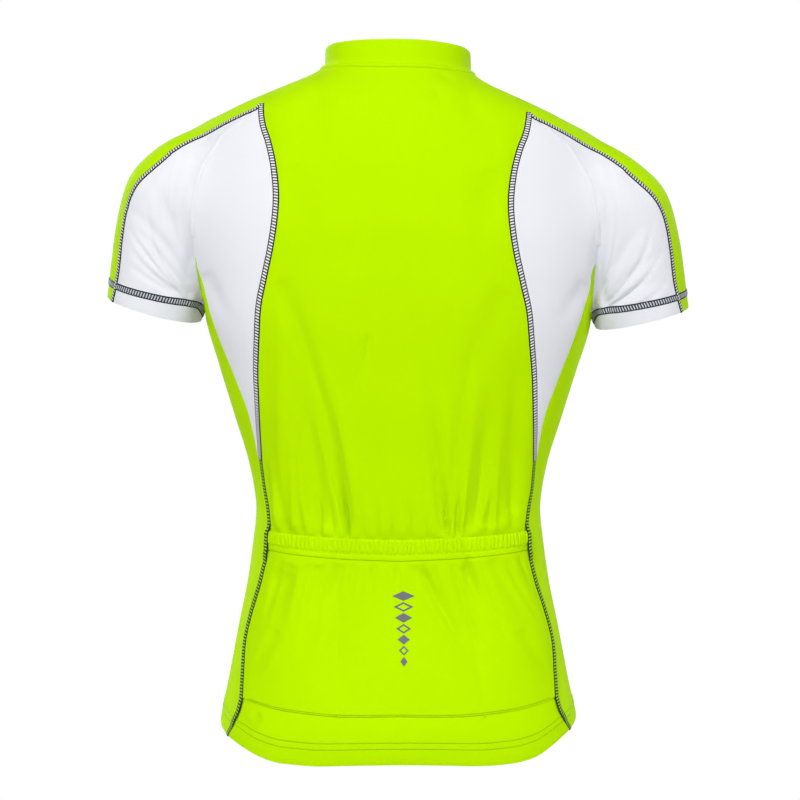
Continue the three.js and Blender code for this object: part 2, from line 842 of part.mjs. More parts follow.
// The gathered elastic band along the pockets' mouth
const bandThickness = 2.2;
const gatherHeight = 0.7;
const gathers = 62;
function pocketBand() {
  const perColumn = (2 * gathers) / steps.back;
  const sections = [];
  const rows = [0.06, 0.28, 0.72, 0.94];
  const edgeDrop = 0.4;
  for (let k = 0; k <= 2 * gathers; k++) {
    const place = k / perColumn;
    const column = Math.min(Math.floor(place), steps.back - 1);
    const share = place - column;
    const gathered = k % 2 ? gatherHeight : 0;
    const ring = [];
    const at = (down, height) => {
      const ends = [0, 1].map((step) => {
        const [top, bottom] = bandGrid.map((row) => row[column + step]);
        const p = top.clone().lerp(bottom, down);
        const out = outwardAt(top).normalize();
        const room = pocketRest + pocketStandOff * pocketRoom(p);
        return posed(p.clone().addScaledVector(out, foldRise(p) + room + height));
      });
      return ends[0].lerp(ends[1], share);
    };
    ring.push(at(0.03, 0), at(0.97, 0));
    for (const down of [...rows].reverse()) {
      const middle = down > 0.2 && down < 0.8;
      ring.push(at(down, bandThickness - edgeDrop + (middle ? gathered : 0)));
    }
    sections.push(ring);
  }
  return sections;
}
function clothBar(sections) {
  const around = sections[0].length;
  const faces = [];
  const id = (k, i) => k * around + (i % around);
  for (let k = 0; k < sections.length - 1; k++) {
    for (let i = 0; i < around; i++) {
      faces.push([id(k, i), id(k + 1, i), id(k + 1, i + 1)], [id(k, i), id(k + 1, i + 1), id(k, i + 1)]);
    }
  }
  const last = sections.length - 1;
  for (let i = 1; i < around - 1; i++) {
    faces.push([id(0, 0), id(0, i), id(0, i + 1)], [id(last, 0), id(last, i + 1), id(last, i)]);
  }
  return solidFrom(sections.flat(), faces);
}

// Materials
const cloth = (color) => new THREE.MeshStandardMaterial({ color, roughness: 0.8, metalness: 0 });
const green = cloth(0xb8f500);
const white = cloth(0xebedf2);
const elastic = cloth(0xa8e000);
const tapeCloth = cloth(0xa6dc00);
const metal = new THREE.MeshStandardMaterial({ color: 0x2c2e33, roughness: 0.4, metalness: 0.8 });

const jersey = new THREE.Group();
function add(name, geometry, material) {
  const mesh = new THREE.Mesh(geometry, material);
  mesh.name = name;
  jersey.add(mesh);
  return mesh;
}

add("back", clothFrom(stacked(...backBlocks), clothThickness), green);
add("collar", clothFrom(collarGrid, collarThickness, { inset: collarInset }), green);
for (const [name, side] of [["left", 1], ["right", -1]]) {
  add(`front_${name}`, clothFrom(frontGrid, clothThickness, { side }), green);
  add(`back_side_${name}`, clothFrom(backSideGrid, clothThickness, { side }), white);
  add(`side_${name}`, clothFrom(sideGrid, clothThickness, { side }), green);
  add(`shoulder_strip_${name}`, clothFrom(stripGrid, clothThickness, { side }), green);
  add(`sleeve_${name}`, clothFrom(sleeveGrid, clothThickness, { side }), white);
}
add("pocket", clothFrom(pocketGrid, clothThickness, { lift: pocketLift, inset: pocketEdgeInset }), green);
add("pocket_band", clothBar(pocketBand()), elastic);
add("zip_tape", clothFrom(tapeGrid, zipTapeThickness), tapeCloth);

// The slider stands on the tape just below the collar's top, its pull hanging in front of it
const tapePlace = (height) => press(new THREE.Vector3(0, -60, height), new THREE.Vector3(0, 1, 0));
const tapeAbove = tapePlace(sliderHeight + sliderLength / 2);
const tapeBelow = tapePlace(sliderHeight - sliderLength / 2);
const tapeTilt = Math.atan2(tapeAbove.y - tapeBelow.y, tapeAbove.z - tapeBelow.z);
const zipFitting = new THREE.Group();
zipFitting.position.copy(tapeAbove).lerp(tapeBelow, 0.5);
zipFitting.rotation.x = -tapeTilt;
jersey.add(zipFitting);

// Local frame of the fitting: across the tape, -Y out from it, +Z up along it
const extruded = (shape, depth) => new THREE.ExtrudeGeometry(shape, { depth, bevelEnabled: false, curveSegments: 6 });
const outline = (places) => new THREE.Shape(places.map(([a, b]) => new THREE.Vector2(a, b)));
function platePiece() {
  const [top, bottom, half] = [sliderTopWidth / 2, sliderBottomWidth / 2, sliderLength / 2];
  const corner = 1.2;
  const shape = outline([
    [-bottom + corner, -half], [bottom - corner, -half], [bottom, -half + corner], [top, half - corner],
    [top - corner, half], [-top + corner, half], [-top, half - corner], [-bottom, -half + corner],
  ]);
  const plate = extruded(shape, sliderThickness);
  plate.rotateX(Math.PI / 2);
  plate.translate(0, -sliderGap, 0);
  return plate;
}
function bridgePiece() {
  const outerHalf = tunnelLength / 2 + bridgeWall;
  const rise = tunnelHeight + bridgeWall;
  const foot = -0.4;
  const shape = outline([
    [-outerHalf, foot], [-tunnelLength / 2, foot], [-tunnelLength / 2, tunnelHeight],
    [tunnelLength / 2, tunnelHeight], [tunnelLength / 2, foot], [outerHalf, foot],
    [outerHalf, rise - 0.6], [outerHalf - 0.6, rise], [-outerHalf + 0.6, rise], [-outerHalf, rise - 0.6],
  ]);
  const bridge = extruded(shape, bridgeWidth);
  bridge.translate(0, 0, -bridgeWidth / 2);
  // The outline lies in (Z, out from the tape)
  const turned = new THREE.Matrix4().makeBasis(
    new THREE.Vector3(0, 0, 1), new THREE.Vector3(0, -1, 0), new THREE.Vector3(1, 0, 0));
  bridge.applyMatrix4(turned);
  bridge.translate(0, -sliderGap - sliderThickness, 0);
  return bridge;
}
const wasm = await Module();
wasm.setup();
function asSolid(geometry) {
  const bare = geometry.clone();
  bare.deleteAttribute("normal");
  bare.deleteAttribute("uv");
  const merged = mergeVertices(bare, 1e-4);
  return new wasm.Manifold(
    new wasm.Mesh({
      numProp: 3,
      vertProperties: merged.attributes.position.array,
      triVerts: new Uint32Array(merged.index.array),
    }),
  );
}
function asGeometry(solid) {
  const mesh = solid.getMesh();
  const geometry = new THREE.BufferGeometry();
  geometry.setAttribute("position", new THREE.BufferAttribute(mesh.vertProperties, 3));
  geometry.setIndex(new THREE.BufferAttribute(mesh.triVerts, 1));
  geometry.computeVertexNormals();
  return geometry;
}
const sliderMesh = add("zip_slider", asGeometry(asSolid(platePiece()).add(asSolid(bridgePiece()))), metal);
zipFitting.add(sliderMesh);

// The pull turns about its bar in the bridge's tunnel
const pivot = new THREE.Group();
pivot.position.set(0, -sliderGap - sliderThickness - tunnelHeight / 2, 0);
pivot.rotation.x = -THREE.MathUtils.degToRad(pullRestTilt);
zipFitting.add(pivot);
function pullPiece() {
  const half = pullWidth / 2;
  const tail = -pullLength;
  const shape = outline([
    [-half, pullBar / 2], [-half, tail + 2], [-half + 1.6, tail], [half - 1.6, tail], [half, tail + 2], [half, pullBar / 2],
  ]);
  const eye = pullEyeWidth / 2;
  shape.holes.push(new THREE.Path([
    [-eye, -pullBar / 2], [eye, -pullBar / 2], [eye, -pullEyeLength], [-eye, -pullEyeLength],
  ].map(([a, b]) => new THREE.Vector2(a, b))));
  const pull = extruded(shape, pullThickness);
  pull.translate(0, 0, -pullThickness / 2);
  pull.rotateX(Math.PI / 2);
  return pull;
}
const pullMesh = add("zip_pull", pullPiece(), metal);
pivot.add(pullMesh);

export default jersey;
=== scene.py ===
import bpy
import numpy as np
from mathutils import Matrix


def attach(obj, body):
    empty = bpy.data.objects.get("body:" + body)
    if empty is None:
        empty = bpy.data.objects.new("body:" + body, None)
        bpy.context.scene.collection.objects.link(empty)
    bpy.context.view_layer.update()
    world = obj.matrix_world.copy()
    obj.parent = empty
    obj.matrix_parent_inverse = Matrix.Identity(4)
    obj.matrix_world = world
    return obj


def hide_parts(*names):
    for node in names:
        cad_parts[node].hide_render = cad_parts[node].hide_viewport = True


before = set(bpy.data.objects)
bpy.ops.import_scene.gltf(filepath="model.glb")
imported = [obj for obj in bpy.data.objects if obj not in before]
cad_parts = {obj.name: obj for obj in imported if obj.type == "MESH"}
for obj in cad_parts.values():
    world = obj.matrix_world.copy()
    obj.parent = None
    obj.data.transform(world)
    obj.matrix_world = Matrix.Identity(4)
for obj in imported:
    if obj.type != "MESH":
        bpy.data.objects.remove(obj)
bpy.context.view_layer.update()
scene = bpy.context.scene
scene.view_settings.view_transform = "Standard"

# Camera: level, 3.2 m behind, 1 mm to a pixel of the picture in the plane of the side seams
view = {"place": (-0.0017, 3.2, -0.328), "turn": (90, 0, 180), "lens": 144, "sensor": 36}


def placeCamera():
    data = bpy.data.cameras.new("camera")
    data.lens, data.sensor_width, data.clip_end = view["lens"], view["sensor"], 60
    camera = bpy.data.objects.new("camera", data)
    camera.location = view["place"]
    camera.rotation_euler = np.radians(view["turn"])
    scene.collection.objects.link(camera)
    scene.camera = camera


placeCamera()
print("camera placed")


def table(rows, columns):
    return np.array(rows.split(), float).reshape(-1, columns)


# Tables: the first column is the place, each other one a smooth curve over it, in cubic pieces
# whose slope at a place is the mean of its neighbours' slopes, weighted by the other gap
def smoothTable(names, rows):
    rows = table(rows, len(names.split()) + 1)
    rows = rows[np.argsort(rows[:, 0])]
    at, values = rows[:, 0], rows[:, 1:]
    gaps = np.diff(at)[:, None]
    rises = np.diff(values, axis=0) / gaps
    inner = (rises[:-1] * gaps[1:] + rises[1:] * gaps[:-1]) / (gaps[1:] + gaps[:-1])
    slopes = np.concatenate([rises[:1], inner, rises[-1:]])

    def column(k):
        def curve(place):
            place = np.clip(place, at[0], at[-1])
            i = np.clip(np.searchsorted(at, place) - 1, 0, len(at) - 2)
            step = at[i + 1] - at[i]
            t = (place - at[i]) / step
            s = 1 - t
            ends = values[i, k] * s * s * (1 + 2 * t) + values[i + 1, k] * t * t * (3 - 2 * t)
            return ends + step * t * s * (slopes[i, k] * s - slopes[i + 1, k] * t)
        return curve

    return {name: column(k) for k, name in enumerate(names.split())}


def smoothCurve(rows):
    return smoothTable("value", rows)["value"]


def unit(v):
    return v / np.linalg.norm(v, axis=-1, keepdims=True)


def fadeIn(x, low, high):  # nought to one between low and high, level at both ends
    t = np.clip((x - low) / (high - low), 0, 1)
    return t * t * (3 - 2 * t)


# The form: half width, and depth to the back and to the front, by height
form = {
    "body": smoothTable("halfWidth back front", """
        14 30 30 6  6 59 46 10  0 73 54 16  -10 91 62 28  -20 114 69 38  -30 137 75 46  -40 158 80 54
        -50 175 84 61  -60 186 88 67  -80 194 96 77  -100 197 103 86  -125 202 109 96  -160 205 116 107
        -190 203 118 113  -215 197 119 115  -253 191.5 117 116  -298 177.5 112 113  -343 163.5 107 108
        -388 149.5 100 104  -418 143.5 96 102  -433 141.8 94 101  -448 142.3 92.5 100.5  -463 144 92 100
        -508 150.5 94 101  -553 159.5 100 103  -598 168 109 105  -643 176.5 117 107  -690 182 121 107"""),
    "middle": smoothTable("depth roundness", """
        10 8 2.1  -60 6 2.3  -160 1 2.7  -210 0 2.7  -300 0 2.4  -690 0 2.3"""),
    "neckHalf": (73, 62), "neckMiddle": -1, "neckLean": 0.25, "neckFoot": -60, "neckBlend": 16,
    "shoulder": np.array([217.5, 5, -135]), "cuff": np.array([244.5, -11.3, -240]),
    "dome": 63, "armRoundness": 2.15,
    "arm": smoothTable("halfWidth halfDepth", """
        -65 43 60  -40 47 59  -20 52 58  0 55.3 58  42 55.5 57  75 52 56  105 48.6 54.5  130 47.5 54
        200 5 5"""),
    "armBlend": smoothCurve("-40 64  -110 60  -160 40  -195 14  -225 4"),
}
armAxis = unit(form["cuff"] - form["shoulder"])
armOut = unit(np.array([1, 0, 0]) - armAxis * armAxis[0])
armBack = unit(np.cross(armOut, armAxis))
armBack = armBack * np.sign(armBack[1])


def blendOf(a, b, width):  # the lesser of two fields, rounded where they are nearly equal
    near = np.maximum(width - np.abs(a - b), 0) / width
    return np.minimum(a, b) - near**3 * width / 6


def roundField(parts, roundness):  # distance from the middle times (1 - 1 / how far out it is)
    reach = sum(np.abs(offset / half) ** roundness for offset, half in parts)
    reach = np.maximum(reach ** (1 / roundness), 1e-4)
    return np.sqrt(sum(offset * offset for offset, half in parts)) * (1 - 1 / reach)


def bodyField(p):
    x, y, z = p[..., 0], p[..., 1], p[..., 2]
    body, middle = form["body"], form["middle"]
    deep = y - middle["depth"](z)
    half = np.where(deep > 0, body["back"](z), body["front"](z))
    return roundField([(x, body["halfWidth"](z)), (deep, half)], middle["roundness"](z))


def armField(p):
    away = p - form["shoulder"]
    along = away @ armAxis
    over = np.minimum(along, 0)  # the domed top
    parts = [(away @ armOut, form["arm"]["halfWidth"](along)),
             (away @ armBack, form["arm"]["halfDepth"](along)), (over, form["dome"])]
    return roundField(parts, form["armRoundness"])


def formField(p):
    p = np.concatenate([np.abs(p[..., :1]), p[..., 1:]], -1)
    trunk = blendOf(bodyField(p), armField(p), form["armBlend"](p[..., 2]))
    deep = p[..., 1] - form["neckMiddle"] + form["neckLean"] * np.maximum(p[..., 2], form["neckFoot"])
    neckField = roundField([(p[..., 0], form["neckHalf"][0]), (deep, form["neckHalf"][1])], 2)
    return blendOf(trunk, neckField, form["neckBlend"])


def slopeAt(p, step=0.4):  # the field's slope, from the places a step ahead and behind on each axis
    ahead = step * np.eye(3)
    rises = [formField(p + ahead[k]) - formField(p - ahead[k]) for k in range(3)]
    return np.stack(rises, -1) / (2 * step)


def press(p, line=None, turns=9):  # moves points to the form, down the slope or along a line
    p = np.array(p, float)
    for _ in range(turns):
        off = formField(p)
        if np.abs(off).max() < 1e-3:
            break
        slope = slopeAt(p)
        way = slope if line is None else np.broadcast_to(line, p.shape)
        step = np.clip(-off / (slope * way).sum(-1), -12, 12)
        p += step[..., None] * way
    return p


viewpoint = np.array([0, 3200, -328.0])


def placesOf(places):
    return table(places, 2) if isinstance(places, str) else np.asarray(places, float)


def fromBehind(places, guess=100):  # where sight lines from behind meet the form
    places = placesOf(places)
    aim = unit(np.stack([places[..., 0], 0 * places[..., 0], places[..., 1]], -1) - viewpoint)
    return press(viewpoint + aim * (guess - viewpoint[1]) / aim[..., 1:2], aim, 16)


def fromFront(places, guess=-90):
    places = placesOf(places)
    start = np.stack([places[..., 0], 0 * places[..., 0] + guess, places[..., 1]], -1)
    return press(start, np.array([0, 1.0, 0]), 16)


def fromSide(places):
    places = placesOf(places)
    start = np.stack([form["body"]["halfWidth"](places[..., 1]) - 5, places[..., 0], places[..., 1]], -1)
    return press(start, np.array([1.0, 0, 0]), 16)


def creaseAt(axis, place, start):  # where body and arm meet the form together, with one axis held
    p = np.array(start, float)
    p[axis] = place
    free = [k for k in range(3) if k != axis]
    step = 0.2
    for _ in range(24):
        tries = np.stack([p, p + step * np.eye(3)[free[0]], p + step * np.eye(3)[free[1]]])
        f, g = formField(tries), bodyField(tries) - armField(tries)
        slopes = np.array([[f[1] - f[0], f[2] - f[0]], [g[1] - g[0], g[2] - g[0]]]) / step
        p[free] += np.clip(np.linalg.solve(slopes, [-f[0], -g[0]]), -3, 3)
    return p


def roundAt(headings, heightFor, guess):  # out from an upright line at headings, at heights by place
    turn = np.radians(np.asarray(headings, float))
    outward = np.stack([np.sin(turn), np.cos(turn), 0 * turn], -1)
    p = outward * guess
    for _ in range(8):
        p[..., 2] = heightFor(p)
        p = press(p, outward, 5)
    return p


def seam(places, steps):  # a centripetal curve through places, in equal steps, laid on the form
    places = np.array(places, float)
    p = np.array([2 * places[0] - places[1], *places, 2 * places[-1] - places[-2]])
    gap = np.sqrt(np.maximum(np.linalg.norm(np.diff(p, axis=0), axis=1), 1e-4))[:, None]
    a, b, c = p[:-3], p[1:-2], p[2:-1]
    d = p[3:]
    g0, g1, g2 = gap[:-2], gap[1:-1], gap[2:]
    t1 = ((b - a) / g0 - (c - a) / (g0 + g1) + (c - b) / g1) * g1
    t2 = ((c - b) / g1 - (d - b) / (g1 + g2) + (d - c) / g2) * g1
    t = np.linspace(0, 1, 40, endpoint=False)[None, :, None]
    b, c, t1, t2 = b[:, None], c[:, None], t1[:, None], t2[:, None]
    curve = b + t1 * t + (3 * (c - b) - 2 * t1 - t2) * t**2 + (2 * (b - c) + t1 + t2) * t**3
    curve = np.concatenate([curve.reshape(-1, 3), places[-1:]])
    run = np.concatenate([[0], np.cumsum(np.linalg.norm(np.diff(curve, axis=0), axis=1))])
    at = np.linspace(0, run[-1], steps + 1)
    points = np.stack([np.interp(at, run, curve[:, k]) for k in range(3)], -1)
    points[1:-1] = press(points[1:-1])
    return points


def joined(*curves):
    return np.concatenate([curves[0], *[curve[1:] for curve in curves[1:]]])


def mirrored(points):
    return points * np.array([-1, 1, 1])


# Steps along each seam
fine = 1
steps = {name: int(count * fine) for name, count in {
    "neckBack": 64, "neckStrip": 20, "neckFront": 12, "shoulder": 32, "corner": 4, "armholeBack": 64,
    "underarm": 48, "armholeFront": 64, "upperSide": 72, "waist": 28, "band": 8, "pocket": 64,
    "hem": 20, "sleeve": 72, "collar": 16, "whitePanel": 28}.items()}
steps["shoulderFront"] = steps["shoulder"] + steps["corner"]
steps["lower"] = steps["waist"] + steps["band"] + steps["pocket"] + steps["hem"]
steps["sideFront"] = steps["upperSide"] + 1 + steps["lower"]
steps["back"] = steps["neckBack"] + 2 * steps["shoulder"]
steps["front"] = steps["neckFront"] + steps["shoulderFront"]

# Neck and hem: heights by heading from the back, and by depth
ring = smoothCurve("0 0.3  60 0.2  90 -0.8  112 -6  135 -22  158 -40  180 -47")
collarEdge = smoothCurve("0 27.3  45 26.4  90 20.5  112 11  135 -5  158 -19  180 -25")
hemEdge = smoothCurve("-110 -628  -50 -637  0 -647  30 -655  60 -665  90 -675  110 -679.5  124 -681")
heading = {"strip": 84, "front": 124, "zip": 180, "hemBack": 74.5, "hemFront": 106}


def onRing(headings):
    return roundAt(headings, lambda p: ring(np.abs(headings)), 68)


def hemAt(headings, rise=0):
    return roundAt(headings, lambda p: hemEdge(p[..., 1]) + rise, 150)


def spread(start, stop, count):
    return np.linspace(start, stop, count + 1)


def between(a, b, count):
    return a + (b - a) * spread(0, 1, count)[:, None]


# Places where seams meet, and the seams of the wearer's left half
backCorner = fromBehind([134, -36.5], 60)
armholeTop = fromBehind([139.5, -41.5], 60)
frontCorner = fromFront([136, -48], -40)
tip = creaseAt(2, -191, fromBehind([203, -191], 40))
frontTip = creaseAt(2, -191, fromFront([200, -191], -50))
whiteEnd = fromBehind([137, -388])
whiteEndOuter = fromBehind([139.4, -386.5])
bandTopEnd = fromBehind([128.6, -458.5])
bandBottomEnd = fromBehind([129.4, -478])
pocketEnd = fromBehind([156.4, -626])
hemBackEnd = hemAt(heading["hemBack"])
hemFrontEnd = hemAt(heading["hemFront"])

armholeBack = seam([armholeTop, *fromBehind("""
    158 -56.5  172.5 -68  183.5 -84  192.5 -101  198 -120  202 -140  204 -160""", 50),
    tip], steps["armholeBack"])
underPlaces = [tip]
for depth in np.linspace(tip[1], frontTip[1], 13)[1:-1]:
    underPlaces.append(creaseAt(1, depth, underPlaces[-1]))
underarm = seam([*underPlaces, frontTip], steps["underarm"])
armholeFront = seam([frontCorner, *fromFront("""
    150 -60  163 -76  173 -94  181 -114  188 -138  195 -162""", -50),
    frontTip], steps["armholeFront"])
princessUpper = seam([backCorner, *fromBehind("""
    131.3 -58  126 -73  120.5 -96  117.5 -125  118.6 -148  122.5 -175  129.5 -208  135 -235
    137.5 -268  139.2 -300  138.8 -340"""),
    whiteEnd], steps["armholeBack"] + steps["upperSide"])
princessWaist = seam([whiteEnd, fromBehind([133.5, -418]), bandTopEnd], steps["waist"])
princessBand = seam([bandTopEnd, bandBottomEnd], steps["band"])
princessPocket = seam([bandBottomEnd, *fromBehind("""
    136 -508  146 -540  152.6 -568  154.8 -598"""), pocketEnd], steps["pocket"])
princessHem = seam([pocketEnd, fromBehind([161, -643]), hemBackEnd], steps["hem"])
princessLower = joined(princessWaist, princessBand, princessPocket, princessHem)
princessAll = joined(princessUpper, princessLower)
sideBack = seam([tip, *fromBehind("""
    195.8 -208  191.5 -223  182.5 -253  171.5 -283  159.5 -313  148.5 -343""", 55),
    whiteEndOuter], steps["upperSide"])
sideFront = seam([frontTip, *fromSide("""
    -50 -240  -50 -300  -48 -388  -47 -458  -46 -560"""), hemFrontEnd], steps["sideFront"])
shoulderBack = seam([onRing(heading["strip"]), press([96, 17, -9]), press([117, 26, -21]), backCorner],
                    steps["shoulder"])
shoulderFront = seam([onRing(heading["front"]), press([86, -36, -28]), press([112, -38, -38]), frontCorner],
                     steps["shoulderFront"])
cuffTurn = {"back": np.radians(40), "front": np.radians(-34)}


def outOfArm(turns):
    return armOut * np.cos(turns) + armBack * np.sin(turns)


def cuffAt(turns):
    outward = outOfArm(np.asarray(turns, float)[..., None])
    return press(form["cuff"] + outward * 50, outward)


stripBack = seam([armholeTop, *fromBehind("""
    161.8 -52  180 -62  200.8 -73  226 -88  244.3 -103  258.5 -118  266.5 -133  271.5 -152  275 -175
    278.5 -206""", 25), cuffAt(cuffTurn["back"])], steps["sleeve"])
stripFront = seam([frontCorner, *fromFront("""
    160 -59  183 -70  206 -83  229 -99  246 -116  257 -134  263.5 -155  268 -180""", -35),
    cuffAt(cuffTurn["front"])], steps["sleeve"])
print("seams laid")


# Panels: each edge's shape fades evenly towards the facing one. Body panels are blended in space and
# pressed on the form; a sleeve is blended as turns round the arm and lengths along it.
def panelGrid(top, bottom, left, right, roundArm=False):
    def asTurns(points):
        away = points - form["shoulder"]
        turn = np.arctan2(away @ armBack, away @ armOut)
        return np.stack([np.where(turn < 0, turn + 2 * np.pi, turn), away @ armAxis], -1)

    edges = [top, bottom, left, right]
    t, b, l, r = [asTurns(edge) for edge in edges] if roundArm else edges
    fading = np.array([3.5, 5]) if roundArm else np.ones(3)
    v = spread(0, 1, len(left) - 1)[:, None, None]
    u = spread(0, 1, len(top) - 1)[None, :, None]
    strayLeft = (l - (l[0] + (l[-1] - l[0]) * v[:, 0]))[:, None]
    strayRight = (r - (r[0] + (r[-1] - r[0]) * v[:, 0]))[:, None]
    place = t[None] * (1 - v) + b[None] * v + (1 - u) ** fading * strayLeft + u**fading * strayRight
    if roundArm:
        outward = outOfArm(place[..., :1])
        grid = press(form["shoulder"] + armAxis * place[..., 1:] + outward * 45, outward, 12)
    else:
        grid = press(place)
    grid[0], grid[-1], grid[:, 0], grid[:, -1] = top, bottom, left, right
    return grid


def acrossBack(end, rows):
    heights = smoothCurve(rows)
    x = np.linspace(end[0], -end[0], 11)[1:-1]
    inner = fromBehind(np.stack([x, heights(np.abs(x))], -1))
    return seam([end, *inner, mirrored(end)], steps["back"])


bandTop = acrossBack(bandTopEnd, "0 -467  50 -465.8  100 -462  127 -458.3")
bandBottom = acrossBack(bandBottomEnd, "0 -489.5  60 -487  100 -483  127 -478.5")
pocketBottom = acrossBack(pocketEnd, "0 -644.5  60 -644  90 -641  120 -636.5  156 -625")
neckBackRing = onRing(spread(heading["strip"], -heading["strip"], steps["neckBack"]))
backTop = joined(shoulderBack[::-1], neckBackRing, mirrored(shoulderBack))
hemBack = hemAt(spread(heading["hemBack"], -heading["hemBack"], steps["back"]))
backBlocks = [
    panelGrid(top, bottom, side, mirrored(side)) for top, bottom, side in [
        (backTop, bandTop, joined(princessUpper, princessWaist)), (bandTop, bandBottom, princessBand),
        (bandBottom, pocketBottom, princessPocket), (pocketBottom, hemBack, princessHem)]]
backGrid = joined(*backBlocks)

zipHalf = 3.7
ringFront = onRing(spread(heading["front"], heading["zip"], steps["neckFront"]))
ringFront[-1] = fromFront([zipHalf, ring(180.0)], -55)
ringStrip = onRing(spread(heading["strip"], heading["front"], steps["neckStrip"]))
zipBottom = fromFront([zipHalf, hemEdge(-107.0)], -107)
zipEdge = seam([ringFront[-1], *fromFront(
    [[zipHalf, z] for z in (-70, -110, -160, -220, -290, -370, -450, -540)], -100), zipBottom],
    steps["armholeFront"] + steps["sideFront"])
hemFront = hemAt(spread(heading["hemFront"], 178, steps["front"]))
hemFront[-1] = zipBottom
frontGrid = panelGrid(joined(shoulderFront[::-1], ringFront), hemFront, joined(armholeFront, sideFront),
                      zipEdge)
whiteGrid = panelGrid(between(armholeTop, backCorner, steps["whitePanel"]),
                      between(whiteEndOuter, whiteEnd, steps["whitePanel"]),
                      joined(armholeBack, sideBack), princessUpper)
sideHem = hemAt(spread(heading["hemFront"], heading["hemBack"], steps["underarm"]))
sideGrid = panelGrid(underarm[::-1], sideHem, sideFront,
                     joined(sideBack, np.concatenate([[whiteEndOuter], princessLower])))
stripCuff = cuffAt(spread(cuffTurn["back"], cuffTurn["front"], steps["neckStrip"]))
stripGrid = panelGrid(ringStrip, stripCuff,
                      joined(shoulderBack, between(backCorner, armholeTop, steps["corner"]), stripBack),
                      joined(shoulderFront, stripFront))
sleeveTop = joined(armholeBack, underarm, armholeFront[::-1])
sleeveCuff = cuffAt(spread(cuffTurn["back"], cuffTurn["front"] + 2 * np.pi, len(sleeveTop) - 1))
sleeveGrid = panelGrid(sleeveTop, sleeveCuff, stripBack, stripFront, roundArm=True)
mend = {"rows": 18, "columns": 44, "downFade": 0.45, "wideFade": 0.7}


def cornerMended(grid):  # near its first corner a grid is its two edges added
    down = np.arange(grid.shape[0])[:, None, None] / mend["rows"]
    wide = np.arange(grid.shape[1])[None, :, None] / mend["columns"]
    patch = grid[:, :1] + grid[:1] - grid[0, 0]
    share = fadeIn(1 - down, 0, mend["downFade"]) * fadeIn(1 - wide, 0, mend["wideFade"])
    return np.where(share > 0, press(grid * (1 - share) + patch * share), grid)


sleeveGrid = cornerMended(cornerMended(sleeveGrid)[:, ::-1])[:, ::-1]
ringSide = joined(ringStrip, ringFront)
ringAll = joined(ringSide[::-1], neckBackRing, mirrored(ringSide))
ringHeadings = np.degrees(np.arctan2(ringAll[:, 0], ringAll[:, 1]))
collarTop = roundAt(ringHeadings, lambda p: collarEdge(np.abs(ringHeadings)), 68)
collarTop[0] = fromFront([zipHalf, collarEdge(180.0)], -60)
collarTop[-1] = mirrored(collarTop[0])
collarEnd = seam([collarTop[0], fromFront([zipHalf, -36], -60), ringAll[0]], steps["collar"])
collarGrid = panelGrid(collarTop, ringAll, collarEnd, mirrored(collarEnd))
print("panels laid")

